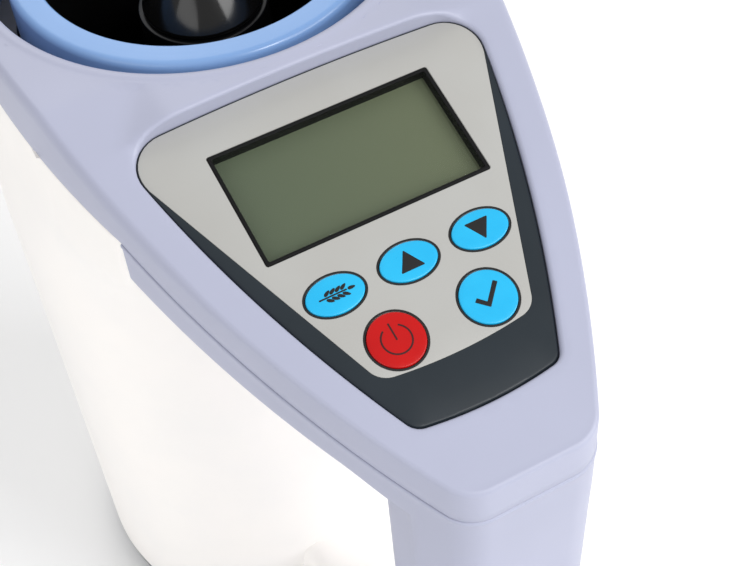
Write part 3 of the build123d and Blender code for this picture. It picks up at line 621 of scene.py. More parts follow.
@dataclass(frozen=True)
class DisplayFinish(Finish):
    """Liquid crystal glass: an olive field with painted shade across it and a faint dot grid."""

    pitch: float = 0.62
    dot_share: float = 0.86

    def _colour(self, tree: bpy.types.NodeTree, space: bpy.types.NodeSocket, shader: bpy.types.Node) -> None:
        """Olive field with painted shade that darkens it towards the left side, and the gaps between dots
        moved a little towards that darker second colour.
        """
        split = tree.nodes.new("ShaderNodeSeparateXYZ")
        tree.links.new(space, split.inputs["Vector"])
        masks = []
        for axis, pitch in (("X", self.pitch), ("Z", self.pitch * PANEL.slope_sine)):
            scale = tree.nodes.new("ShaderNodeMath")
            scale.operation = "MULTIPLY"
            scale.inputs[1].default_value = 1 / (pitch * MM)
            tree.links.new(split.outputs[axis], scale.inputs[0])
            saw = tree.nodes.new("ShaderNodeMath")
            saw.operation = "FRACT"
            tree.links.new(scale.outputs[0], saw.inputs[0])
            edge = tree.nodes.new("ShaderNodeMath")
            edge.operation = "GREATER_THAN"
            edge.inputs[1].default_value = self.dot_share
            tree.links.new(saw.outputs[0], edge.inputs[0])
            masks.append(edge)
        gaps = tree.nodes.new("ShaderNodeMath")
        gaps.operation = "MAXIMUM"
        for k, mask in enumerate(masks):
            tree.links.new(mask.outputs[0], gaps.inputs[k])
        faint = tree.nodes.new("ShaderNodeMath")
        faint.operation = "MULTIPLY"
        faint.inputs[1].default_value = 0.10
        tree.links.new(gaps.outputs[0], faint.inputs[0])
        # Painted shade: the field fades from its own colour on the right to the darker second colour on the
        # left.
        span = tree.nodes.new("ShaderNodeMapRange")
        span.inputs["From Min"].default_value = 0.024
        span.inputs["From Max"].default_value = -0.024
        tree.links.new(split.outputs["X"], span.inputs["Value"])
        share = tree.nodes.new("ShaderNodeMath")
        share.operation = "ADD"
        share.use_clamp = True
        tree.links.new(span.outputs["Result"], share.inputs[0])
        tree.links.new(faint.outputs[0], share.inputs[1])
        ramp = tree.nodes.new("ShaderNodeValToRGB")
        ramp.color_ramp.elements[0].color = (*self.colour, 1)
        ramp.color_ramp.elements[1].color = (*self.drift, 1)
        tree.links.new(share.outputs[0], ramp.inputs["Fac"])
        tree.links.new(ramp.outputs["Color"], shader.inputs["Base Color"])


@dataclass(frozen=True)
class JacketFinish(Finish):
    """Battery jacket with a metallic band near one end."""

    band: tuple[float, float, float] = srgb(205, 150, 70)
    band_start: float = 9.0

    def _colour(self, tree: bpy.types.NodeTree, space: bpy.types.NodeSocket, shader: bpy.types.Node) -> None:
        """Dark jacket, and a coppery band past a place along the cell."""
        split = tree.nodes.new("ShaderNodeSeparateXYZ")
        tree.links.new(space, split.inputs["Vector"])
        ramp = tree.nodes.new("ShaderNodeValToRGB")
        ramp.color_ramp.interpolation = "CONSTANT"
        ramp.color_ramp.elements[0].color = (*self.colour, 1)
        ramp.color_ramp.elements[1].color = (*self.band, 1)
        ramp.color_ramp.elements[1].position = 0.5
        span = tree.nodes.new("ShaderNodeMapRange")
        span.inputs["From Min"].default_value = (self.band_start - 0.5) * MM
        span.inputs["From Max"].default_value = (self.band_start + 0.5) * MM
        tree.links.new(split.outputs["X"], span.inputs["Value"])
        tree.links.new(span.outputs["Result"], ramp.inputs["Fac"])
        tree.links.new(ramp.outputs["Color"], shader.inputs["Base Color"])


LAVENDER = Finish("cover_plastic", "cover_lavender", srgb(166, 169, 189), srgb(171, 174, 195), 0.44, 0.05,
                  relief=0.005, relief_size=0.35, patch_size=45.0)
WHITE = Finish("body_plastic", "body_white", srgb(251, 247, 243), srgb(247, 244, 241), 0.4, 0.04,
               relief=0.003)
COLLAR = Finish("collar_plastic", "collar_blue", srgb(130, 166, 215), srgb(125, 162, 212), 0.24, 0.05,
                relief=0.002)
SLATE = Finish("plate_plastic", "plate_slate", srgb(29, 37, 43), srgb(34, 42, 49), 0.38, 0.06, relief=0.005,
               relief_size=0.25, mirror=0.35)
OVERLAY = Finish("overlay_film", "overlay_grey", srgb(169, 168, 164), srgb(173, 173, 170), 0.38, 0.05,
                 relief=0.002, relief_size=0.3, grain=Grain.PRINTED)
KEY_BLUE = Finish("key_print_blue", "key_blue", srgb(24, 171, 222), srgb(31, 177, 226), 0.3, 0.05,
                  relief=0.002, patch_size=6.0, grain=Grain.PRINTED)
KEY_RED = Finish("key_print_red", "key_red", srgb(186, 12, 11), srgb(178, 10, 11), 0.3, 0.05, mirror=0.3,
                 relief=0.002, patch_size=6.0, grain=Grain.PRINTED)
INK = Finish("printed_black", "bezel_black", srgb(10, 10, 12), srgb(14, 14, 16), 0.4, 0.05, relief=0.001,
             grain=Grain.PRINTED)
DARK_RED = Finish("printed_dark_red", "key_red", srgb(62, 4, 8), srgb(54, 4, 8), 0.35, 0.05, relief=0.001,
                  grain=Grain.PRINTED)
BEZEL = Finish("bezel_plastic", "bezel_black", srgb(6, 6, 7), srgb(10, 10, 11), 0.5, 0.06,
               relief=0.004, mirror=0.2)
PANE = Finish("clear_pane", "window_clear", (0.02, 0.025, 0.02), (0.02, 0.03, 0.02), 0.06, 0.02, alpha=0.06,
              relief=0.0, grain=Grain.GLASSY)
# The display's second colour is painted shade, which the field fades to towards the left.
LCD = DisplayFinish("liquid_crystal", "lcd_green", srgb(106, 114, 89), srgb(93, 104, 84), 0.5, 0.05,
                    relief=0.0, mirror=0.25)
GUIDE = Finish("light_guide_plastic", "light_guide", srgb(232, 236, 226), srgb(226, 231, 220), 0.5, 0.1)
BOARD = Finish("board_mask", "board_green", srgb(26, 96, 54), srgb(30, 108, 60), 0.35, 0.1, relief=0.02,
               relief_size=1.6, patch_size=4.0, grain=Grain.BOARD)
CHIP = Finish("epoxy_black", "chip_black", srgb(26, 26, 28), srgb(34, 34, 36), 0.55, 0.1)
CUP = Finish("cup_plastic", "chamber_black", srgb(16, 17, 20), srgb(22, 23, 26), 0.18, 0.06,
             coat=0.4, relief=0.002)
ELECTRODE = Finish("electrode_metal", "electrode_dark", srgb(16, 16, 17), srgb(22, 22, 23), 0.3, 0.08,
                   metallic=0.6, relief=0.002, grain=Grain.BRUSHED)
CONE = Finish("cone_plastic", "chamber_black", srgb(7, 7, 7), srgb(11, 10, 10), 0.14, 0.05,
              relief=0.002, relief_size=0.4)
BEAM = Finish("beam_metal", "beam_aluminium", srgb(205, 208, 212), srgb(192, 196, 200), 0.3, 0.1,
              metallic=1.0, relief=0.004, relief_size=0.3, grain=Grain.BRUSHED)
STEEL = Finish("screw_steel", "fastener_steel", srgb(190, 190, 188), srgb(172, 172, 172), 0.3, 0.1,
               metallic=1.0, patch_size=2.0)
GREY = Finish("inner_plastic", "inner_grey", srgb(128, 130, 134), srgb(120, 122, 127), 0.55, 0.08,
              relief=0.01)
RUBBER = Finish("foot_rubber_black", "foot_rubber", srgb(34, 34, 35), srgb(42, 42, 43), 0.8, 0.08,
                relief=0.03, relief_size=0.5, grain=Grain.RUBBER, sheen=0.1)
CONTACT = Finish("contact_nickel", "contact_metal", srgb(200, 196, 184), srgb(186, 182, 172), 0.28, 0.1,
                 metallic=1.0, patch_size=2.0, grain=Grain.BRUSHED)


def dress(piece: bpy.types.Object, finish: Finish) -> None:
    """Gives a piece or a frame node one finish."""
    piece.data.materials.clear()
    piece.data.materials.append(finish.material())


def settle(piece: bpy.types.Object, body: str, finish: Finish, *nodes: str) -> bpy.types.Object:
    """Finishes a piece, puts it on its body and hides the frame nodes that it stands for.

    Args:
        piece: The finished object.
        body: Body that it moves with.
        finish: Its finish.
        *nodes: Frame nodes that it replaces.

    Returns:
        The piece.
    """
    dress(piece, finish)
    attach(piece, body)
    if nodes:
        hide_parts(*nodes)
    LOG.info("%s: %d faces on %s", piece.name, len(piece.data.polygons), body)
    return piece


# ---------------------------------------------------------------- repeats


@dataclass(frozen=True)
class Repeat:
    """Copies of a small template, placed by a node tree and made one mesh."""

    name: str
    template: bpy.types.Object
    finish: Finish

    def _tree(self, inputs: dict[str, str]) -> tuple[bpy.types.NodeTree, dict[str, str]]:
        """A new tree with named inputs, and each input's identifier."""
        tree = bpy.data.node_groups.new(self.name, "GeometryNodeTree")
        tree.interface.new_socket(name="Mesh", in_out="OUTPUT", socket_type="NodeSocketGeometry")
        kinds = {"Template": "NodeSocketObject", "Finish": "NodeSocketMaterial", **inputs}
        return tree, {
            name: tree.interface.new_socket(name=name, in_out="INPUT", socket_type=kind).identifier
            for name, kind in kinds.items()
        }

    def _copy_on(
        self, tree: bpy.types.NodeTree, ends: bpy.types.Node, points: bpy.types.NodeSocket,
        turn: Optional[bpy.types.NodeSocket] = None,
    ) -> None:
        """Puts the template on points, makes the copies real and gives them the finish."""
        info = tree.nodes.new("GeometryNodeObjectInfo")
        copies = tree.nodes.new("GeometryNodeInstanceOnPoints")
        real = tree.nodes.new("GeometryNodeRealizeInstances")
        coat = tree.nodes.new("GeometryNodeSetMaterial")
        out = tree.nodes.new("NodeGroupOutput")
        tree.links.new(ends.outputs["Template"], info.inputs["Object"])
        tree.links.new(points, copies.inputs["Points"])
        tree.links.new(info.outputs["Geometry"], copies.inputs["Instance"])
        if turn:
            tree.links.new(turn, copies.inputs["Rotation"])
        tree.links.new(copies.outputs["Instances"], real.inputs["Geometry"])
        tree.links.new(real.outputs["Geometry"], coat.inputs["Geometry"])
        tree.links.new(ends.outputs["Finish"], coat.inputs["Material"])
        tree.links.new(coat.outputs["Geometry"], out.inputs["Mesh"])

    def _result(
        self, tree: bpy.types.NodeTree, keys: dict[str, str], values: dict[str, object]
    ) -> bpy.types.Object:
        """Runs the tree on a new object and keeps its plain mesh."""
        piece = bpy.data.objects.new(self.name, bpy.data.meshes.new(self.name))
        bpy.context.scene.collection.objects.link(piece)
        tool = piece.modifiers.new("copies", "NODES")
        tool.node_group = tree
        tool[keys["Template"]] = self.template
        tool[keys["Finish"]] = self.finish.material()
        for name, value in values.items():
            tool[keys[name]] = value
        settle_modifiers(piece)
        bpy.data.objects.remove(self.template)
        shade(piece, 35.0)
        return piece

    def in_row(self, count: int, first: Vector, step: Vector) -> bpy.types.Object:
        """Copies in a straight row.

        Args:
            count: How many.
            first: Place of the first, in millimetres.
            step: From one to the next, in millimetres.

        Returns:
            One plain mesh of all the copies.
        """
        tree, keys = self._tree(
            {"Count": "NodeSocketInt", "First": "NodeSocketVector", "Step": "NodeSocketVector"})
        ends = tree.nodes.new("NodeGroupInput")
        row = tree.nodes.new("GeometryNodeMeshLine")
        row.mode = "OFFSET"
        tree.links.new(ends.outputs["Count"], row.inputs["Count"])
        tree.links.new(ends.outputs["First"], row.inputs["Start Location"])
        tree.links.new(ends.outputs["Step"], row.inputs["Offset"])
        self._copy_on(tree, ends, row.outputs["Mesh"])
        return self._result(
            tree, keys, {"Count": count, "First": tuple(first * MM), "Step": tuple(step * MM)})

    def in_circle(self, count: int, centre: Vector, radius: float, start: float = 0.0) -> bpy.types.Object:
        """Copies round an upright axis, each turned to face outwards.

        Args:
            count: How many.
            centre: Middle of the circle, in millimetres.
            radius: Its radius, in millimetres.
            start: Angle of the first copy, in degrees.

        Returns:
            One plain mesh of all the copies.
        """
        tree, keys = self._tree({
            "Count": "NodeSocketInt", "Radius": "NodeSocketFloat", "Centre": "NodeSocketVector",
            "Turn": "NodeSocketVector",
        })
        ends = tree.nodes.new("NodeGroupInput")
        circle = tree.nodes.new("GeometryNodeMeshCircle")
        tree.links.new(ends.outputs["Count"], circle.inputs["Vertices"])
        tree.links.new(ends.outputs["Radius"], circle.inputs["Radius"])
        shift = tree.nodes.new("GeometryNodeTransform")
        tree.links.new(circle.outputs["Mesh"], shift.inputs["Geometry"])
        tree.links.new(ends.outputs["Centre"], shift.inputs["Translation"])
        tree.links.new(ends.outputs["Turn"], shift.inputs["Rotation"])
        self._copy_on(tree, ends, shift.outputs["Geometry"])
        return self._result(tree, keys, {
            "Count": count, "Radius": radius * MM, "Centre": tuple(centre * MM),
            "Turn": (0.0, 0.0, math.radians(start)),
        })


# ---------------------------------------------------------------- shared forms


class PanelPlane:
    """The sloped panel: u along X, v up the slope from the window's top edge, n outwards."""

    def __init__(self) -> None:
        """Reads the slope from a key's travel and the place from the display frame."""
        travel = next(j for j in frame["joints"] if j["name"] == "power_key_press")["axis"]
        self.out = -Vector(travel).normalized()
        self.up = Vector((1, 0, 0)).cross(self.out) * -1
        self.up = self.up if self.up.z > 0 else -self.up
        self.slope_sine = self.up.z
        corners = [v.co / MM for v in frame["nodes"]["display_bezel"].data.vertices]
        height = max(c.dot(self.out) for c in corners)
        reach = max(c.dot(self.up) for c in corners)
        self.origin = self.out * height + self.up * reach

    def place(self, u: float, v: float, n: float = 0.0) -> Vector:
        """Point at a panel place."""
        return self.origin + Vector((u, 0, 0)) + self.up * v + self.out * n

    def extent(self, node: str, above: float = -1.0) -> tuple[Vector, Vector]:
        """Lowest and highest (u, v) of the part of a node that lies above a depth."""
        spots = []
        for vertex in frame["nodes"][node].data.vertices:
            way = vertex.co / MM - self.origin
            if way.dot(self.out) > above:
                spots.append((way.x, way.dot(self.up)))
        return Vector(map(min, *spots)), Vector(map(max, *spots))

    def height(self, y: float, n: float = 0.0) -> float:
        """Height of the plane at a depth n, over a place y."""
        start = self.place(0, 0, n)
        return start.z + (y - start.y) * self.up.z / self.up.y


PANEL = PanelPlane()


@dataclass
class PlanForm:
    """Plan outline that the cover, the body's neck and the handle's tray share."""

    nose_half: float = 13.4
    nose_corner: float = 8.5
    step: float = 1.4

    def __post_init__(self) -> None:
        """Takes the overall sizes from the frame."""
        low, high = node_box("top_cover")
        ring_low, ring_high = node_box("chamber_collar")
        self.axis_y = (ring_low.y + ring_high.y) / 2
        self.back = high.x
        self.nose_y = low.y
        reach = self.axis_y - self.nose_y
        self.flank = (reach**2 + (self.back - self.nose_half) ** 2) / (2 * (self.back - self.nose_half))
        self.parting = node_box("body_shell")[1].z
        self.top = high.z

    def half_width(self, y: float) -> float:
        """Half width in front of the chamber axis."""
        return self.back - self.flank + math.sqrt(self.flank**2 - (self.axis_y - y) ** 2)

    def flank_run(self, start: float, end: float) -> list[Vector]:
        """Right flank between two places y."""
        places = [mix(start, end, i / 200) for i in range(201)]
        return [Vector((self.half_width(y), y)) for y in places]

    @cached_property
    def outline(self) -> Outline:
        """The whole outline."""
        right = self.flank_run(self.nose_y, self.axis_y)
        left = [Vector((-p.x, p.y)) for p in reversed(right)]
        back = arc((0, self.axis_y), self.back, 0, 180, 300)
        front = line((-self.nose_half, self.nose_y), (self.nose_half, self.nose_y), 40)
        radii = [0, 0, self.nose_corner, self.nose_corner]
        return Outline.of(join_sides([right, back, left, front], radii, self.step))

    def circle(self, radius: float, steps: int = 128) -> Outline:
        """Circle about the chamber axis."""
        return Outline.ellipse((0, self.axis_y), radius, radius, steps)


PLAN = PlanForm()


# ---------------------------------------------------------------- cover


@dataclass
class TopCover:
    """Lavender cover with the brow, the panel recess and the chamber opening."""

    wall: float = 2.0
    proud: float = 0.8
    edge_depth: float = 8.1
    brow_half: float = 26.0
    brow_front: float = -10.2
    brow_fall: float = 0.364
    blend: float = 0.9
    rim_lip: float = 1.5
    rim_gap: float = 5.0
    bead: float = 0.35
    recess_edge: float = 0.9
    recess_depth: float = 3.0
    ledge: float = 4.0
    foot_edge: float = 0.4
    broad_edge: tuple[float, float] = (1.7, 3.0)
    waist_edge: tuple[float, float] = (1.8, 3.0)
    sharp_edge: tuple[float, float] = (1.1, 1.1)

    def height(self, x: float, y: float) -> float:
        """Height of the upper surface: the flat top, the brow and the slope, run softly together."""
        slope = PANEL.height(y, self.proud)
        fall = self.brow_fall * soft_max(0.0, abs(x) - self.brow_half, self.blend)
        brow = PLAN.top + 0.3 - fall - 1.2 * max(0.0, self.brow_front - y)
        rise = soft_max(slope, brow, self.blend)
        return -soft_max(-rise, -PLAN.top, 0.5)

    def edge_at(self, y: float) -> tuple[float, float]:
        """Reach and drop of the upper edge's rounding at a place y."""
        to_waist, to_nose = smooth(6, -16, y), smooth(-24, -58, y)
        return tuple(
            mix(mix(broad, waist, to_waist), sharp, to_nose)
            for broad, waist, sharp in zip(self.broad_edge, self.waist_edge, self.sharp_edge)
        )

    def foot(self, y: float) -> float:
        """Height of the cover's lower edge."""
        return min(PLAN.parting, PANEL.height(y, -self.edge_depth))

    def recess_ring(self, outline: Outline, grow: float) -> list[Vector]:
        """Loop round the recess, lifted along the panel's normal to the cover's surface."""
        ring = []
        for flat in outline.grown(grow):
            n = self.proud
            for _ in range(6):
                spot = PANEL.place(flat.x, flat.y, n)
                n += (self.height(spot.x, spot.y) - spot.z) / PANEL.out.z
            ring.append(PANEL.place(flat.x, flat.y, n))
        return ring

    def build(self, plate: Outline, gap: float) -> bpy.types.Object:
        """Makes the cover.

        Args:
            plate: Outline of the keypad plate.
            gap: Clearance round it.

        Returns:
            The finished piece.
        """
        skin = Skin()
        outline = PLAN.outline
        reach = [self.edge_at(p.y)[0] for p in outline.points]
        drop = [self.edge_at(p.y)[1] for p in outline.points]
        inner = outline.grown([-r for r in reach])
        feet = [self.foot(p.y) for p in outline.points]
        brink = [self.height(p.x, p.y) for p in inner]

        def ring(grow: Sequence[float], heights: Sequence[float]) -> list[Vector]:
            return [Vector((p.x, p.y, z)) for p, z in zip(outline.grown(grow), heights)]

        count = len(feet)
        rings = []
        for turn in (0.0, 0.5, 1.0):
            dip = self.foot_edge * (1 - math.sin(turn * math.pi / 2))
            sink = self.foot_edge * (1 - math.cos(turn * math.pi / 2))
            rings.append(ring([-dip] * count, [z + sink for z in feet]))
        shoulder = [z - d for z, d in zip(brink, drop)]
        for share in (0.33, 0.66):
            between = [mix(a + self.foot_edge, b, share) for a, b in zip(feet, shoulder)]
            rings.append(ring([0.0] * count, between))
        for k in range(9):
            turn = math.pi / 2 * k / 8
            rings.append(ring(
                [-r * (1 - math.cos(turn)) for r in reach],
                [b - d * (1 - math.sin(turn)) for b, d in zip(brink, drop)],
            ))
        edge = skin.stack(rings)[-1]

        rim = PLAN.circle(node_box("chamber_collar")[1].x + self.rim_gap)
        low = node_box("dust_guard")[1].z
        lips = [
            [Vector((p.x, p.y, PLAN.top + self.bead * lift)) for p in rim.grown(self.rim_lip + out)]
            for out, lift in ((1.9, 0.0), (1.5, 0.06), (1.1, 0.35), (0.7, 0.8), (0.35, 1.0))
        ]
        for k in range(6):
            turn = math.pi / 2 * k / 5
            grow = self.rim_lip * (1 - math.sin(turn))
            drop = self.rim_lip * (1 - math.cos(turn)) - self.bead * 0.9
            lips.append([Vector((p.x, p.y, PLAN.top - drop)) for p in rim.grown(grow)])
        lips.append([Vector((p.x, p.y, low)) for p in rim.grown(0.0)])
        lip = skin.stack([list(reversed(r)) for r in reversed(lips)])[-1]

        brim = self.recess_ring(plate, gap + self.recess_edge)
        walls = [brim]
        for k in (1, 2, 3):
            turn = math.pi / 2 * k / 3
            outer = self.recess_ring(plate, gap + self.recess_edge * (1 - math.sin(turn)))
            walls.append([p - PANEL.out * self.recess_edge * (1 - math.cos(turn)) for p in outer])
        walls.append([PANEL.place(p.x, p.y, -self.recess_depth) for p in plate.grown(gap)])
        walls.append([PANEL.place(p.x, p.y, -self.recess_depth) for p in plate.grown(gap - self.ledge / 2)])
        mouth = skin.stack([list(reversed(r)) for r in reversed(walls)])[-1]
        skin.fill(
            edge, [lip, mouth], lambda p: p.xy, lambda x, y: Vector((x, y, self.height(x, y))), step=1.1
        )
        piece = skin.mesh("top_cover_shell", closed=False, crease=50.0)
        thicken(piece, self.wall)
        shade(piece, 50.0)
        return settle(piece, "housing", LAVENDER, "top_cover")


# ---------------------------------------------------------------- panel and keys


@dataclass
class Keypad:
    """Slate plate with its printed overlay, keys and legends."""

    margin_top: float = 8.3
    margin_bottom: float = 7.1
    top_corner: float = 7.6
    bottom_corner: float = 3.4
    bow: float = 1.3
    thickness: float = 3.0
    bevel: float = 0.7
    thin_bevel: float = 0.04
    overlay_step: float = -1.5
    overlay_band: float = 3.9
    overlay_corner: float = 4.5
    overlay_thickness: float = 0.4
    overlay_inset: float = 0.12
    slack: float = 0.05
    recess_gap: float = 0.16
    key_gap: float = 0.15
    key_proud: float = 0.25
    key_height: float = 1.6
    dome: float = 0.12
    stem: float = 2.0
    stem_end: float = 6.5
    print_line: float = 0.42
    ink: float = 0.035

    def __post_init__(self) -> None:
        """Takes the plate's, overlay's and keys' places from the frame."""
        plate_low, plate_high = PANEL.extent("keypad_plate", -5.0)
        self.plate_top, self.plate_bottom = plate_high.y, plate_low.y
        self.overlay_bottom = PANEL.extent("panel_overlay")[0].y
        self.keys = {name: PANEL.extent(name) for name in
                     ("power_key", "ok_key", "species_key", "up_key", "down_key")}
        self.window = PANEL.extent("display_bezel", -5.0)

    def half(self, v: float) -> float:
        """Half width of the plate at a place on the panel."""
        share = (self.plate_top - v) / (self.plate_top - self.plate_bottom)
        return PLAN.half_width(PANEL.place(0, v).y) - mix(self.margin_top, self.margin_bottom, share)

    @cached_property
    def plate_outline(self) -> Outline:
        """Outline of the plate."""
        top, low = self.plate_top - self.bow, self.plate_bottom + self.bow
        right = [Vector((self.half(v), v)) for v in np.linspace(low, top, 120)]
        left = [Vector((-p.x, p.y)) for p in reversed(right)]
        over = self._bowed(self.half(top), top, self.bow)
        under = self._bowed(self.half(low), low, -self.bow)
        radii = [self.top_corner, self.top_corner, self.bottom_corner, self.bottom_corner]
        return Outline.of(join_sides([right, over, left, list(reversed(under))], radii, 1.3))

    @cached_property
    def overlay_outline(self) -> Outline:
        """Outline of the overlay."""
        inset = self.slack + self.overlay_inset
        top, low = self.plate_top - self.bow - inset, self.overlay_bottom + self.bow
        wide, narrow = self.half(self.overlay_step) - inset, self.half(low) - self.overlay_band
        right = line((narrow, low), (wide, self.overlay_step), 60)[:-1]
        right += line((wide, self.overlay_step), (self.half(top) - inset, top), 12)
        left = [Vector((-p.x, p.y)) for p in reversed(right)]
        over = self._bowed(self.half(top) - inset, top, self.bow)
        under = self._bowed(narrow, low, -self.bow)
        radii = [self.top_corner - inset, self.top_corner - inset, self.overlay_corner, self.overlay_corner]
        return Outline.of(join_sides([right, over, left, list(reversed(under))], radii, 1.3))

    @staticmethod
    def _bowed(half: float, v: float, bow: float) -> list[Vector]:
        """Run from +half to -half with its middle bowed."""
        return [Vector((u, v + bow * (1 - (u / half) ** 2))) for u in np.linspace(half, -half, 80)]

    def key_outline(self, name: str) -> Outline:
        """Outline of a key."""
        low, high = self.keys[name]
        middle, half = (low + high) / 2, (high - low) / 2
        return Outline.ellipse(middle, half.x, half.y)

    def window_outline(self, grow: float = 0.0) -> Outline:
        """Outline of the display window."""
        low, high = self.window
        return Outline.box((low.x - grow, low.y - grow), (high.x + grow, high.y + grow), 0.5)

    def key_place(self, name: str) -> Place:
        """Panel place that follows a key's slightly domed top."""
        low, high = self.keys[name]
        middle, half = (low + high) / 2, (high - low) / 2

        def place(u: float, v: float, n: float) -> Vector:
            share = ((u - middle.x) / half.x) ** 2 + ((v - middle.y) / half.y) ** 2
            return PANEL.place(u, v, n + (self.dome * max(0.0, 1 - share) if n > 0 else 0.0))

        return place

    def plate(self) -> bpy.types.Object:
        """Slate plate with the overlay's pocket."""
        skin = Skin()
        holes = [self.window_outline(0.1)]
        holes += [Outline.of(self.key_outline(name).grown(self.key_gap)) for name in self.keys]
        pocket = Outline.of(self.overlay_outline.grown(self.slack))
        bevels = [
            min(self.bevel, max(self.thin_bevel, self.thin_bevel + 0.03 * (self.overlay_step - p.y)))
            for p in self.plate_outline.points
        ]
        slab(skin, PANEL.place, self.plate_outline, -self.thickness, 0.0, bevels, holes, pocket,
             self.overlay_thickness)
        return settle(skin.mesh("keypad_plate_slate", crease=30.0), "housing", SLATE, "keypad_plate")

    def overlay(self) -> bpy.types.Object:
        """Printed overlay."""
        skin = Skin()
        holes = [self.window_outline(0.1)]
        holes += [Outline.of(self.key_outline(name).grown(self.key_gap)) for name in self.keys]
        slab(skin, PANEL.place, self.overlay_outline, -self.overlay_thickness, 0.0, 0.12, holes)
        return settle(skin.mesh("panel_overlay_film", crease=25.0), "housing", OVERLAY, "panel_overlay")

    def key(self, name: str, finish: Finish) -> bpy.types.Object:
        """One key with its stem."""
        skin = Skin()
        outline = self.key_outline(name)
        place = self.key_place(name)
        slab(skin, place, outline, self.key_proud - self.key_height, self.key_proud, 0.22, fill_step=0.7)
        middle = (self.keys[name][0] + self.keys[name][1]) / 2
        post = Outline.ellipse(middle, self.stem, self.stem, 40)
        slab(skin, lambda u, v, n: PANEL.place(u, v, -n), Outline.of(list(reversed(post.points))),
             self.key_height - 0.4, self.stem_end, -0.0)
        return settle(skin.mesh(f"{name}_cap"), f"{name}_body", finish, name)

    def rings(self) -> bpy.types.Object:
        """Black lines printed round the keys."""
        skin = Skin()
        for name in self.keys:
            inner = Outline.of(self.key_outline(name).grown(self.key_gap))
            outer = Outline.of(inner.grown(self.print_line))
            slab(skin, PANEL.place, outer, 0.0, self.ink, 0.01, [inner])
        return settle(skin.mesh("key_outlines_print"), "housing", INK)

    def legend(
        self, name: str, key: str, shapes: Sequence[Sequence[Vector]], finish: Finish
    ) -> bpy.types.Object:
        """Printed mark on a key.

        Args:
            name: Name of the piece.
            key: Key that carries it.
            shapes: Closed loops about the key's middle.
            finish: Its ink.

        Returns:
            The finished piece.
        """
        middle = (self.keys[key][0] + self.keys[key][1]) / 2
        skin = Skin()
        for shape in shapes:
            loop = Outline.of([p + middle for p in shape])
            slab(skin, self.key_place(key), loop, self.key_proud, self.key_proud + self.ink, 0.005,
                 fill_step=0.5)
        return settle(skin.mesh(name), f"{key}_body", finish)

    def build(self) -> None:
        """Makes every piece of the keypad."""
        self.plate()
        self.overlay()
        self.rings()
        for name in self.keys:
            self.key(name, KEY_RED if name == "power_key" else KEY_BLUE)
        marks = Marks()
        self.legend("power_mark", "power_key", marks.power(), DARK_RED)
        self.legend("accept_mark", "ok_key", marks.tick(), INK)
        self.legend("ear_mark", "species_key", marks.ear(), INK)
        self.legend("up_mark", "up_key", marks.triangle(1.0), INK)
        self.legend("down_mark", "down_key", marks.triangle(-1.0), INK)


@dataclass(frozen=True)
class Marks:
    """Plain marks on the keys, about each key's middle."""

    bar: float = 0.34
    power_radius: float = 2.9
    power_opening: float = 64.0
    arrow: float = 2.5

    def capsule(self, start: Sequence[float], end: Sequence[float], half: float) -> list[Vector]:
        """Bar with round ends."""
        a, b = Vector(start), Vector(end)
        along = math.degrees(math.atan2(b.y - a.y, b.x - a.x))
        return arc(b, half, along - 90, along + 90, 8) + arc(a, half, along + 90, along + 270, 8)

    def power(self) -> list[list[Vector]]:
        """Open ring with an upright bar."""
        start, end = 90 + self.power_opening / 2, 450 - self.power_opening / 2
        outer = arc((0, 0), self.power_radius + self.bar / 2, start, end, 40)
        inner = arc((0, 0), self.power_radius - self.bar / 2, end, start, 40)
        return [outer + inner, self.capsule((0, 0.0), (0, 3.3), self.bar / 2)]

    def triangle(self, way: float) -> list[list[Vector]]:
        """Filled arrow head, up for +1 and down for -1."""
        side = self.arrow
        corners = [(-side, -side * 0.75), (side, -side * 0.75), (0, side * 0.95)]
        if way < 0:
            corners = [(-x, -y) for x, y in corners]
        return [rounded(corners, 0.16, 4)]

    def tick(self) -> list[list[Vector]]:
        """Tick mark."""
        corners = [(-0.7, -2.1), (3.0, 1.9), (2.3, 2.5), (-0.75, -0.85), (-2.2, 0.6), (-2.9, -0.05)]
        return [rounded(corners, 0.12, 3)]

    def ear(self) -> list[list[Vector]]:
        """Ear of grain: a stalk, paired kernels and one at the tip."""
        shapes = [self.capsule((-3.2, 0), (2.2, 0), 0.16)]
        for k in range(4):
            for side in (1, -1):
                shapes.append(self._kernel((-1.35 + 1.1 * k, 0.78 * side), 32 * side))
        shapes.append(self._kernel((3.3, 0), 0))
        return shapes

    @staticmethod
    def _kernel(middle: Sequence[float], turn: float) -> list[Vector]:
        """Pointed oval kernel."""
        lean = math.radians(turn)
        out = []
        for k in range(16):
            t = TURN * k / 16
            x, y = 0.78 * math.cos(t), 0.34 * math.sin(t) * (1 - 0.25 * math.cos(t))
            out.append(Vector((
                middle[0] + x * math.cos(lean) - y * math.sin(lean),
                middle[1] + x * math.sin(lean) + y * math.cos(lean),
            )))
        return out


@dataclass
class Display:
    """Display frame, clear pane, liquid crystal glass and light guide."""

    border: float = 0.75
    depth: float = 2.4
    pane: float = 0.8

    def build(self, keypad: Keypad) -> None:
        """Makes the display in the keypad's window."""
        low, high = keypad.window
        inner = Outline.box(
            (low.x + self.border, low.y + self.border), (high.x - self.border, high.y - self.border), 0.3)
        bezel = Skin()
        slab(bezel, PANEL.place, keypad.window_outline(), -self.depth, 0.04, 0.1, [inner])
        settle(bezel.mesh("display_bezel_frame"), "housing", BEZEL, "display_bezel")
        pane = Skin()
        slab(pane, PANEL.place, Outline.of(inner.grown(-0.05)), -self.pane, -0.1, 0.05)
        settle(pane.mesh("display_pane"), "housing", PANE, "display_window")
        for node, finish in (("lcd_glass", LCD), ("lcd_backlight", GUIDE)):
            dress(frame["nodes"][node], finish)


# ---------------------------------------------------------------- chamber


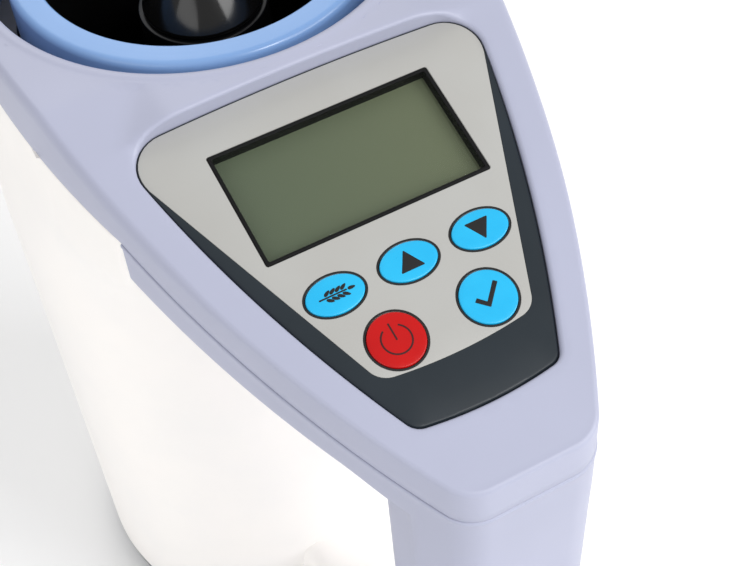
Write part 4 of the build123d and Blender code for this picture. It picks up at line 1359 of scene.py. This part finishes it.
@dataclass
class Chamber:
    """Blue collar, dark cup and the core with its cone."""

    collar_round: float = 1.7
    lip_round: float = 0.9
    dish: float = 0.05
    tip: float = 0.9
    collar_bore: float = 34.3
    cup_floor: float = 4.0
    electrode_wall: float = 1.0
    core_wall: float = 2.0

    def turned(
        self, name: str, profile: Sequence[Vector] | Profile, finish: Finish, *nodes: str, steps: int = 128
    ) -> None:
        """One turned piece about the chamber axis."""
        skin = Skin()
        skin.lathe(profile, (0, PLAN.axis_y), steps)
        settle(skin.mesh(name), "chamber", finish, *nodes)

    def collar(self) -> None:
        """Collar with a broad outer rounding and a small inner one."""
        low, high = node_box("chamber_collar")
        outer, inner = high.x, self.collar_bore
        step = node_box("chamber_cup")[1].x
        middle = (outer + inner) / 2
        seat = node_box("chamber_cup")[1].z
        profile = rounded(
            [(outer, low.z), (outer, high.z), (middle, high.z - self.dish), (inner, high.z), (inner, seat),
             (step, seat), (step, low.z)],
            [0.3, self.collar_round, 0.4, self.lip_round, 0.1, 0.1, 0.3],
        )
        self.turned("collar_ring", profile, COLLAR, "chamber_collar", steps=160)

    def cup(self) -> None:
        """Cup, electrode and floor."""
        low, high = node_box("chamber_cup")
        tube_low, tube_high = node_box("outer_electrode")
        bore = tube_high.x
        self.turned("cup_shell", rounded(
            [(0, low.z), (high.x, low.z), (high.x, high.z), (bore, high.z), (bore, low.z + self.cup_floor),
             (0, low.z + self.cup_floor)],
            [0, 1.2, 0.5, 0.5, 0.3, 0]), CUP, "chamber_cup")
        self.turned("electrode_tube", rounded(
            [(bore - self.electrode_wall, tube_low.z), (bore, tube_low.z), (bore, tube_high.z),
             (bore - self.electrode_wall, tube_high.z)], 0.25, 4),
            ELECTRODE, "outer_electrode", steps=160)

    def core(self) -> None:
        """Core and cone."""
        low, high = node_box("core_electrode")
        radius = high.x
        self.turned("core_tube", rounded(
            [(radius - self.core_wall, low.z), (radius, low.z), (radius, high.z),
             (radius - self.core_wall, high.z)], 0.3, 4),
            ELECTRODE, "core_electrode")
        cone_low, cone_high = node_box("core_cone")
        self.turned("core_cone_cap", rounded(
            [(0, cone_low.z), (radius, cone_low.z), (self.tip, cone_high.z - 0.4), (0, cone_high.z)],
            [0, 0.8, 0.9, 0]), CONE, "core_cone", steps=160)

    def build(self) -> None:
        """Makes the chamber."""
        self.collar()
        self.cup()
        self.core()
        for node, finish in (
            ("chamber_floor", CUP), ("temperature_probe", STEEL), ("meter_board", BOARD),
            ("chamber_bracket", GREY), ("bracket_bolts", STEEL), ("load_cell_live_half", BEAM),
        ):
            dress(frame["nodes"][node], finish)


# ---------------------------------------------------------------- body


@dataclass
class Body:
    """White body: a round tower that shoulders into the cover's outline."""

    wall: float = 2.4
    shoulder_low: float = 150.0
    shoulder_high: float = 187.0
    ridge: float = 43.0
    ridge_band: float = 4.0
    corner: float = 3.0
    top_edge: float = 0.5
    foot_edge: float = 1.2
    rows: int = 26
    door_gap: float = 0.4
    door_corner: float = 4.0
    rib_count: int = 7
    rib_pitch: float = 2.2
    rib_below: float = 18.0
    rib_half: float = 11.0
    foot_tuck: float = 0.7
    cutter_reach: float = 3.0
    screw_circle: float = 46.0

    def __post_init__(self) -> None:
        """Takes the body's sizes from the frame."""
        low, high = node_box("body_shell")
        self.radius = high.x
        self.low, self.high = low.z, high.z
        self.front = low.y if low.y < -60 else self._front_line()

    def _front_line(self) -> float:
        """Place y of the flat front under the cover, read from the node's top."""
        corners = frame["nodes"]["body_shell"].data.vertices
        tall = [v.co.y / MM for v in corners if v.co.z / MM > self.high - 0.5]
        return min(tall)

    def sections(self) -> tuple[list[Vector], list[Vector]]:
        """Matching loops of the round tower and of the neck."""
        width = PLAN.half_width(self.front)
        counts = (60, 26, 8, 30)
        neck_flank = PLAN.flank_run(self.front + self.corner * 1.2, PLAN.axis_y)
        neck = spaced(neck_flank, (PLAN.axis_y - self.front) / counts[1])
        end = len(neck) - 1
        neck = [neck[min(end, round(i * end / counts[1]))] for i in range(counts[1] + 1)]
        back = arc((0, PLAN.axis_y), PLAN.back, 0, 180, counts[0])
        front_point = Vector((width - self.corner * 1.2, self.front))
        bend = [self._bezier(front_point, Vector((width, self.front)), neck[0], i / counts[2])
                for i in range(counts[2] + 1)]
        left = [Vector((-p.x, p.y)) for p in reversed(neck)]
        left_bend = [Vector((-p.x, p.y)) for p in reversed(bend)]
        front = line(left_bend[-1], bend[0], counts[3])
        neck_loop = back[:-1] + left[:-1] + left_bend[:-1] + front[:-1] + bend[:-1] + neck[:-1]
        ridge_deg, slim = self.ridge, self.ridge_band
        tower = []
        spans = [(0, 180, counts[0]), (180, 180 + ridge_deg - slim, counts[1]),
                 (180 + ridge_deg - slim, 180 + ridge_deg + slim, counts[2]),
                 (180 + ridge_deg + slim, 360 - ridge_deg - slim, counts[3]),
                 (360 - ridge_deg - slim, 360 - ridge_deg + slim, counts[2]),
                 (360 - ridge_deg + slim, 360, counts[1])]
        for start, end, count in spans:
            tower += arc((0, PLAN.axis_y), self.radius, start, end, count)[:-1]
        return tower, neck_loop

    @staticmethod
    def _bezier(a: Vector, b: Vector, c: Vector, t: float) -> Vector:
        """Point on a quadratic curve."""
        return a * (1 - t) ** 2 + b * 2 * t * (1 - t) + c * t * t

    def loop_at(self, z: float, grow: float = 0.0) -> list[Vector]:
        """Body loop at a height."""
        tower, neck = self.sections_made
        share = smooth(self.shoulder_low, self.shoulder_high, z)
        loop = Outline.of([a.lerp(b, share) for a, b in zip(tower, neck)])
        return [Vector((p.x, p.y, z)) for p in loop.grown(grow)]

    @cached_property
    def sections_made(self) -> tuple[list[Vector], list[Vector]]:
        """The two loops, worked out once."""
        return self.sections()

    def door_place(self, u: float, v: float, n: float) -> Vector:
        """Place on the back of the round tower: u round it, v its height, n outwards."""
        turn = u / self.radius
        reach = self.radius + n
        return Vector((-math.sin(turn) * reach, PLAN.axis_y + math.cos(turn) * reach, v))

    def door_outline(self, grow: float) -> Outline:
        """Outline of the battery opening, unrolled."""
        low, high = node_box("battery_door")
        half = math.asin(high.x / self.radius) * self.radius
        spread = self.door_gap + grow
        corners = [(-half - spread, low.z - spread), (half + spread, high.z + spread)]
        flat = rounded(
            [corners[0], (corners[1][0], corners[0][1]), corners[1], (corners[0][0], corners[1][1])],
            self.door_corner + grow, 8)
        dense = []
        for a, b in zip(flat, flat[1:] + flat[:1]):
            pieces = max(1, round((b - a).length / 2.0))
            dense += [a.lerp(b, i / pieces) for i in range(pieces)]
        return Outline.of(dense)

    def shell(self) -> bpy.types.Object:
        """White shell with the battery opening."""
        skin = Skin()
        rings = []
        for k in range(4):
            turn = math.pi / 2 * k / 3
            rings.append(self.loop_at(self.low + self.foot_edge * (1 - math.cos(turn)),
                                      -self.foot_edge * (1 - math.sin(turn)) * self.foot_tuck))
        heights = list(np.linspace(self.low + 6, self.shoulder_low, 16))
        heights += list(np.linspace(self.shoulder_low, self.shoulder_high, self.rows))[1:]
        rings += [self.loop_at(z) for z in heights]
        for k in range(4):
            turn = math.pi / 2 * k / 3
            rings.append(self.loop_at(self.high - self.top_edge * (1 - math.sin(turn)),
                                      -self.top_edge * (1 - math.cos(turn))))
        skin.stack(rings)
        piece = skin.mesh("body_shell_white", closed=False, crease=60.0)
        thicken(piece, self.wall)
        knife = Skin()
        slab(knife, self.door_place, self.door_outline(0.0),
             -self.wall - self.cutter_reach, self.cutter_reach, 0.0)
        cut(piece, knife.mesh("hatch_tool"))
        shade(piece, 40.0)
        return settle(piece, "housing", WHITE, "body_shell")

    def door(self) -> None:
        """Battery door with a row of finger ribs."""
        skin = Skin()
        outline = self.door_outline(-self.door_gap)
        slab(skin, self.door_place, outline, -self.wall, 0.0, 0.5, fill_step=2.5)
        settle(skin.mesh("battery_door_panel"), "door", WHITE, "battery_door")
        high = node_box("battery_door")[1]
        rib = Skin()
        ends = Outline.box((-self.rib_half, -0.55), (self.rib_half, 0.55), 0.5)
        slab(rib, self.door_place, ends, -0.3, 0.45, 0.3, fill_step=1.0)
        template = rib.mesh("rib_template")
        ribs = Repeat("door_ribs", template, WHITE).in_row(
            self.rib_count, Vector((0, 0, high.z - self.rib_below)), Vector((0, 0, self.rib_pitch)))
        settle(ribs, "door", WHITE)

    def base(self) -> None:
        """Base plate, feet and screws."""
        low, high = node_box("base_plate")
        skin = Skin()
        skin.lathe(rounded(
            [(0, low.z), (high.x, low.z), (high.x, low.z + 4), (52, low.z + 4), (52, high.z), (49.5, high.z),
             (49.5, low.z + 4), (0, low.z + 4)],
            [0, 0.9, 0.4, 0.1, 0.3, 0.3, 0.1, 0], 5), (0, PLAN.axis_y), 128)
        settle(skin.mesh("base_plate_disc"), "housing", GREY, "base_plate")
        foot_low, foot_high = node_box("rubber_foot_1")
        radius = (foot_high.x - foot_low.x) / 2
        foot = Skin()
        foot.lathe(rounded([(0, 0.35), (2.6, 0.35), (3.2, 0), (radius - 0.2, 0),
                            (radius, foot_high.z - 1.5), (0, foot_high.z - 1.5)],
                           [0, 0.2, 0.2, 0.8, 0.3, 0]), (0, 0), 48)
        reach = math.hypot((foot_low.x + foot_high.x) / 2, (foot_low.y + foot_high.y) / 2 - PLAN.axis_y)
        feet = Repeat("rubber_feet", foot.mesh("foot_template"), RUBBER).in_circle(
            4, Vector((0, PLAN.axis_y, 0)), reach, 45)
        settle(feet, "housing", RUBBER, *[f"rubber_foot_{i}" for i in range(1, 5)])
        screws = Repeat("base_screw_heads", screw_head(3.0, 1.0), STEEL).in_circle(
            4, Vector((0, PLAN.axis_y, node_box("base_screws")[0].z + 1.0)), self.screw_circle, 0)
        settle(screws, "housing", STEEL, "base_screws")

    def build(self) -> None:
        """Makes the body."""
        self.shell()
        self.door()
        self.base()


def screw_head(radius: float, height: float, upward: float = -1.0) -> bpy.types.Object:
    """Small domed screw head with a cross recess, at the origin.

    Args:
        radius: Radius of the head.
        height: How far the head stands off its seat.
        upward: +1 for a head that looks up, -1 for one that looks down.

    Returns:
        The template.
    """
    skin = Skin()
    arm, slot = radius * 0.62, radius * 0.14
    cross = [(arm, slot), (slot, slot), (slot, arm), (-slot, arm), (-slot, slot), (-arm, slot),
             (-arm, -slot), (-slot, -slot), (-slot, -arm), (slot, -arm), (slot, -slot), (arm, -slot)]
    place: Place = lambda u, v, n: Vector((u, v * upward, n * upward))
    slab(skin, place, Outline.ellipse((0, 0), radius, radius, 32), 0.0, height, height * 0.5,
         pocket=Outline.of(cross), pocket_depth=height * 0.6)
    return skin.mesh("screw_template")


# ---------------------------------------------------------------- handle


@dataclass
class Handle:
    """Lavender tray under the cover that runs down into the grip and back to the body."""

    wall: float = 2.2
    edge_depth: float = 8.1
    grip_half: float = 19.2
    grip_depth: float = 28.0
    grip_round: float = 9.0
    taper: float = 0.014
    tray_drop: float = 12.0
    tray_fall: float = 0.2126
    tray_edge: float = 2.2
    lip: float = 0.22
    throat: float = 3.0
    arm_low: float = 16.0
    arm_top: float = 44.0
    arm_half: float = 16.0
    pivot: float = 4.0
    heel_round: float = 26.0
    heel_rows: int = 22
    grip_rows: int = 24
    squareness: float = 4.5
    plug: float = 3.0
    arm_seat: float = 0.6
    taper_run: float = 125.0
    strip_corner: float = 3.0
    strip_proud: float = 0.6
    rib_half: float = 6.0
    rib_count: int = 17
    rib_pitch: float = 3.6
    rib_start: float = 17.0
    screw_inset: float = 8.0

    def __post_init__(self) -> None:
        """Takes the tray's rear end from the body."""
        self.rear = BODY.front
        self.back_y = PLAN.nose_y + self.grip_depth

    def under(self, y: float) -> float:
        """Height of the tray's underside."""
        return PLAN.parting - self.tray_drop + (y - self.rear) * self.tray_fall

    def top(self, y: float) -> float:
        """Height of the tray's upper edge."""
        return min(PLAN.parting, PANEL.height(y, -self.edge_depth))

    def rim(self) -> list[Vector]:
        """Open run of the outline from the rear left, round the nose, to the rear right."""
        right = PLAN.flank_run(PLAN.nose_y, self.rear)
        left = [Vector((-p.x, p.y)) for p in reversed(right)]
        front = line((-PLAN.nose_half, PLAN.nose_y), (PLAN.nose_half, PLAN.nose_y), 40)
        back = line((PLAN.half_width(self.rear), self.rear), (-PLAN.half_width(self.rear), self.rear), 10)
        loop = join_sides([right, back, left, front], [0, 0, PLAN.nose_corner, PLAN.nose_corner], 1.4)
        start = max(range(len(loop)),
                    key=lambda i: (loop[i].y > self.rear - 1e-3 and loop[i].x < 0, -loop[i].x))
        loop = loop[start:] + loop[:start]
        end = next(i for i, p in enumerate(loop) if p.y > self.rear - 1e-3 and p.x > 0)
        return loop[:end + 1]

    def build(self) -> None:
        """Makes the handle."""
        skin = Skin()
        run = self.rim()
        shared = [i for i, p in enumerate(run) if abs(p.x) <= self.grip_half + 0.6 and p.y < self.back_y]
        first, last = shared[0], shared[-1]
        sideways = inward(run, 1.0)

        def fade(i: int) -> float:
            away = min(abs(i - first), abs(i - last)) if i < first or i > last else 0
            return smooth(0, 12, away)

        def level(inset: Callable[[int], float], height: Callable[[int, Vector], float]) -> list[Vector]:
            out = []
            for i, p in enumerate(run):
                flat = p + (sideways[i] - p) * inset(i)
                out.append(Vector((flat.x, flat.y, height(i, flat))))
            return out

        rings = [level(lambda i, s=s: s, lambda i, p, d=d: self.top(p.y) - d)
                 for s, d in ((0.3, 0.0), (0.0, 0.03), (-self.lip * 0.7, 0.1), (-self.lip, 0.3),
                              (-self.lip, 0.8), (0.0, 1.6))]
        rings.append(level(lambda i: 0.0, lambda i, p: mix(self.top(p.y), self.under(p.y), 0.4)))
        for k in range(6):
            turn = math.pi / 2 * k / 5
            rings.append(level(
                lambda i: self.tray_edge * fade(i) * (1 - math.cos(turn)),
                lambda i, p: self.under(p.y) + self.tray_edge * fade(i) * (1 - math.sin(turn)),
            ))
        made = [skin.ring(r) for r in rings]
        for above, below in zip(made, made[1:]):
            skin.strip(below, above, closed=False)
        brink = made[-1]

        start, end = skin.points[brink[first]], skin.points[brink[last]]
        half, corner = self.grip_half, self.grip_round
        back = spaced(line((end.x, end.y), (half, end.y + 1.5), 2)
                      + arc((half - corner, self.back_y - corner), corner, 0, 90, 30)
                      + arc((corner - half, self.back_y - corner), corner, 90, 180, 30)
                      + line((-half, start.y + 1.5), (start.x, start.y), 2), 1.5)[1:-1]
        spread = [smooth(0, 8, i) * smooth(0, 8, len(back) - 1 - i) * self.throat for i in range(len(back))]
        pushed = inward([Vector((end.x, end.y))] + back + [Vector((start.x, start.y))], -1.0)[1:-1]
        throat_rings = []
        for k in range(5):
            turn = math.pi / 2 * k / 4
            ring = []
            for p, q, s in zip(back, pushed, spread):
                flat = p + (q - p) * s * (1 - math.sin(turn))
                ring.append(Vector((flat.x, flat.y, self.under(flat.y) - s * (1 - math.cos(turn)))))
            throat_rings.append(skin.ring(ring))
        for above, below in zip(throat_rings, throat_rings[1:]):
            joined_above = [brink[last]] + above + [brink[first]]
            joined_below = [brink[last]] + below + [brink[first]]
            skin.strip(joined_below, joined_above, closed=False)
        patch = brink[:first + 1] + list(reversed(throat_rings[0])) + brink[last:]
        right, left = skin.points[brink[-1]].x, skin.points[brink[0]].x
        rear_ids = skin.ring([Vector((mix(right, left, k / 20), self.rear, self.under(self.rear)))
                              for k in range(1, 20)])
        skin.fill(patch + rear_ids, [], lambda p: p.xy,
                  lambda x, y: Vector((x, y, self.under(y))), step=2.5, flip=True)

        crown = brink[first:last + 1] + throat_rings[-1]
        self.grip(skin, crown)
        piece = skin.mesh("handle_moulding", closed=False, crease=50.0)
        thicken(piece, self.wall)
        shade(piece, 50.0)
        settle(piece, "housing", LAVENDER, "handle_frame")
        self.strip()

    def grip(self, skin: Skin, crown: list[int]) -> None:
        """Runs the grip down from the tray, round the heel and back to the body.

        Args:
            skin: Mesh in the making.
            crown: Closed ring of point numbers at the tray's underside.
        """
        base = [skin.points[i].xy for i in crown]
        heights = [skin.points[i].z for i in crown]
        section = Outline.of(base)
        foot = self.arm_top + self.pivot
        previous = crown
        for row in range(1, self.grip_rows + 1):
            share = row / self.grip_rows
            ring = skin.ring(self._grip_ring(section, heights, foot, share))
            skin.strip(ring, previous)
            previous = ring
        last = [skin.points[i] for i in previous]
        hub = Vector((self.back_y + self.pivot, foot))
        ends = []
        for row in range(1, self.heel_rows + 1):
            turn = math.pi / 2 * row / self.heel_rows
            ends.append(self._heel_ring(last, hub, turn))
        ends.append([p + Vector((0, self.plug, 0)) for p in ends[-1]])
        for points in ends:
            ring = skin.ring(points)
            skin.strip(ring, previous)
            previous = ring
        self.arm(ends[-2])

    def arm(self, mouth: Sequence[Vector]) -> None:
        """White arm of the body that the grip's foot plugs into.

        Args:
            mouth: Section of the grip's foot where it enters the arm.
        """
        skin = Skin()
        middle = Vector((0, 0, (self.arm_low + self.arm_top) / 2))
        body = BODY.radius - self.arm_seat
        previous = None
        for grow, back, share in ((0.05, 0.6, 0.0), (0.35, 0.15, 0.0), (0.8, 0.0, 0.0), (1.15, 0.25, 0.0),
                                  (1.25, 0.8, 0.0), (1.25, 0.0, 0.34), (1.25, 0.0, 0.67), (1.25, 0.0, 1.0)):
            points = []
            for p in mouth:
                out = Vector((p.x, 0, p.z - middle.z)).normalized() * grow
                x = p.x + out.x
                wall_y = PLAN.axis_y - math.sqrt(body**2 - x**2)
                points.append(Vector((x, mix(p.y + back, wall_y, share), p.z + out.z)))
            ring = skin.ring(points)
            if previous:
                skin.strip(ring, previous)
            previous = ring
        piece = skin.mesh("handle_arm", closed=False, crease=50.0)
        thicken(piece, self.wall)
        shade(piece, 50.0)
        settle(piece, "housing", WHITE)

    def _grip_ring(
        self, section: Outline, heights: Sequence[float], foot: float, share: float
    ) -> list[Vector]:
        """Grip loop at a share of the way down, level from three tenths of the way."""
        top = max(heights)
        out = []
        for p, n, z in zip(section.points, section.normals, heights):
            level = mix(top, foot, share)
            height = mix(z, foot, share) + (level - mix(z, foot, share)) * smooth(0, 0.3, share)
            flat = p - n * self.taper * (top - height) * smooth(0, 0.1, share)
            out.append(Vector((flat.x, flat.y, height)))
        return out

    def _heel_ring(self, last: Sequence[Vector], hub: Vector, turn: float) -> list[Vector]:
        """Loop turned about the inner corner of the heel, easing from the grip's section to the arm's."""
        share = smooth(0, math.pi / 2, turn)
        reach = self._reach(turn, hub)
        front, back = min(p.y for p in last), max(p.y for p in last)
        middle = (front + back) / 2
        out = []
        for p in last:
            spoke = math.atan2((p.y - middle) / (self.grip_depth / 2), p.x / self.arm_half)
            scale = (abs(math.cos(spoke)) ** self.squareness + abs(math.sin(spoke)) ** self.squareness) ** (
                -1 / self.squareness)
            arm_x, arm_out = self.arm_half * scale * math.cos(spoke), 0.5 - 0.5 * scale * math.sin(spoke)
            grip_out = (back - p.y) / (back - front)
            x, outward = mix(p.x, arm_x, share), mix(grip_out, arm_out, share)
            far = self.pivot + outward * (reach - self.pivot)
            out.append(Vector((x, hub.x - far * math.cos(turn), hub.y - far * math.sin(turn))))
        return out

    def _reach(self, turn: float, hub: Vector) -> float:
        """Distance from the heel's inner hub to its outer face."""
        cos, sin = math.cos(turn), math.sin(turn)
        front, floor = hub.x - PLAN.nose_y - self.taper * self.taper_run, hub.y - self.arm_low
        flat = min(front / max(cos, 1e-6), floor / max(sin, 1e-6))
        centre = Vector((front - self.heel_round, floor - self.heel_round))
        along = centre.x * cos + centre.y * sin
        round_reach = along + math.sqrt(max(0.0, along**2 - centre.length_squared + self.heel_round**2))
        in_corner = round_reach * cos > centre.x and round_reach * sin > centre.y
        return round_reach if in_corner else flat

    def strip(self) -> None:
        """Ribbed strip on the finger side, with its two screws."""
        low, high = node_box("grip_cover")
        skin = Skin()
        half = (high - low) / 2
        place: Place = lambda u, v, n: Vector((-u, high.y + n, v))
        outline = Outline.box((-half.x, low.z), (half.x, high.z), self.strip_corner)
        slab(skin, place, outline, -half.y * 2, self.strip_proud, 0.7)
        settle(skin.mesh("grip_strip"), "housing", RUBBER, "grip_cover")
        rib = Skin()
        slab(rib, place, Outline.box((-self.rib_half, -0.8), (self.rib_half, 0.8), 0.75), 0.3, 1.4, 0.5)
        ribs = Repeat("grip_ribs", rib.mesh("grip_rib_template"), RUBBER).in_row(
            self.rib_count, Vector((0, 0, low.z + self.rib_start)), Vector((0, 0, self.rib_pitch)))
        settle(ribs, "housing", RUBBER)
        head = screw_head(2.4, 0.9, 1.0)
        head.data.transform(Matrix.Rotation(-math.pi / 2, 4, "X"))
        screws = Repeat("grip_screw_heads", head, STEEL).in_row(
            2, Vector((0, high.y + 0.5, low.z + self.screw_inset)),
            Vector((0, 0, high.z - low.z - 2 * self.screw_inset)))
        settle(screws, "housing", STEEL, "grip_screws")


# ---------------------------------------------------------------- what the shells hide


class InnerWorks:
    """Boards, weighing beam and batteries, which keep their frame shapes or get a better one."""

    plain = {
        "dust_guard": GREY, "main_board": BOARD, "board_parts": CHIP, "tact_switches": CHIP,
        "board_screws": STEEL, "load_cell_fixed_half": BEAM, "load_cell_bolts": STEEL,
        "load_cell_pedestal": GREY,
        "pedestal_screws": STEEL, "battery_holder": GREY, "battery_contacts": CONTACT,
    }

    def cell(self, index: int) -> None:
        """One battery cell, with a rolled shoulder and a positive nub."""
        low, high = node_box(f"battery_cell_{index}")
        radius = (high.z - low.z) / 2
        length = high.x - low.x
        way = -1 if index % 2 == 0 else 1
        profile = rounded(
            [(0, 0), (radius - 0.8, 0), (radius, 0.6), (radius, length - 2.6), (radius - 1, length - 1.6),
             (2.7, length - 1.5), (2.7, length), (0, length)],
            [0, 0.3, 0.4, 0.5, 0.5, 0.2, 0.5, 0])
        skin = Skin()
        skin.lathe(profile, (0, 0), 40)
        start = low.x if way > 0 else high.x
        middle = (low + high) / 2
        skin.points = [Vector((start + way * p.z, middle.y + p.x, middle.z + p.y * way)) for p in skin.points]
        jacket = JacketFinish(
            f"cell_jacket_{'right' if way > 0 else 'left'}", "cell_jacket",
            srgb(24, 32, 58), srgb(28, 38, 66), 0.28, 0.05, metallic=0.3, relief=0.001,
            band_start=9.0 if way > 0 else -9.0)
        settle(skin.mesh(f"cell_{index}"), "housing", jacket, f"battery_cell_{index}")

    def build(self) -> None:
        """Dresses the inner nodes and makes the cells."""
        for node, finish in self.plain.items():
            dress(frame["nodes"][node], finish)
            LOG.info("%s dressed", node)
        for index in range(1, 5):
            self.cell(index)


# ---------------------------------------------------------------- studio


@dataclass
class Studio:
    """Pale floor, soft lights and the camera."""

    camera_at: tuple[float, float, float] = (-0.0811, -0.2101, 0.4054)
    look: tuple[float, float, float] = (0.26445, 0.57912, -0.77116)
    roll: float = -5.155
    lens: float = 73.45
    floor_reach: float = 6.0
    aim: tuple[float, float, float] = (0.0, 0.0, 0.12)
    sky: float = 0.55

    def floor(self) -> None:
        """Wide pale floor."""
        reach = self.floor_reach
        data = bpy.data.meshes.new("floor")
        corners = [(-reach, -reach, 0), (reach, -reach, 0), (reach, reach, 0), (-reach, reach, 0)]
        data.from_pydata(corners, [], [(0, 1, 2, 3)])
        ground = bpy.data.objects.new("floor", data)
        bpy.context.scene.collection.objects.link(ground)
        dress(ground, Finish(
            "floor_paper", "body_white", (0.97, 0.97, 0.97), (0.955, 0.955, 0.96), 0.85, 0.05,
            relief=0.02, relief_size=2.0, patch_size=400.0))

    def light(
        self, name: str, place: Sequence[float], aim: Sequence[float], size: float, power: float
    ) -> None:
        """One soft square light."""
        lamp = bpy.data.lights.new(name, "AREA")
        lamp.shape = "SQUARE"
        lamp.size = size
        lamp.energy = power
        holder = bpy.data.objects.new(name, lamp)
        bpy.context.scene.collection.objects.link(holder)
        holder.location = place
        holder.rotation_euler = (Vector(aim) - Vector(place)).to_track_quat("-Z", "Y").to_euler()

    def build(self) -> None:
        """Sets the scene."""
        scene = bpy.context.scene
        scene.view_settings.view_transform = "Standard"
        self.floor()
        world = bpy.data.worlds.new("studio")
        world.use_nodes = True
        world.node_tree.nodes["Background"].inputs["Color"].default_value = (1.0, 1.0, 1.0, 1.0)
        world.node_tree.nodes["Background"].inputs["Strength"].default_value = self.sky
        scene.world = world
        self.light("right_softbox", (0.95, -0.9, 0.8), self.aim, 0.9, 12.5)
        self.light("left_softbox", (-1.2, -0.6, 0.7), self.aim, 1.1, 6.0)
        self.light("back_softbox", (0.15, 1.2, 1.1), self.aim, 1.2, 6.0)
        self.light("edge_softbox", (0.3, -0.72, 1.15), self.aim, 0.22, 4.0)
        data = bpy.data.cameras.new("camera")
        data.lens = self.lens
        data.sensor_width = 36.0
        data.clip_start = 0.01
        camera = bpy.data.objects.new("camera", data)
        scene.collection.objects.link(camera)
        camera.location = self.camera_at
        camera.rotation_mode = "QUATERNION"
        level = Vector(self.look).to_track_quat("-Z", "Y")
        camera.rotation_quaternion = level @ Quaternion((0, 0, 1), math.radians(self.roll))
        scene.camera = camera


BODY = Body()


def main() -> None:
    """Builds every sub-assembly in order."""
    logging.basicConfig(level=logging.INFO, format="%(name)s: %(message)s")
    Studio().build()
    keypad = Keypad()
    TopCover().build(keypad.plate_outline, keypad.recess_gap)
    keypad.build()
    Display().build(keypad)
    Chamber().build()
    BODY.build()
    Handle().build()
    InnerWorks().build()


if __name__ == "__main__":
    main()
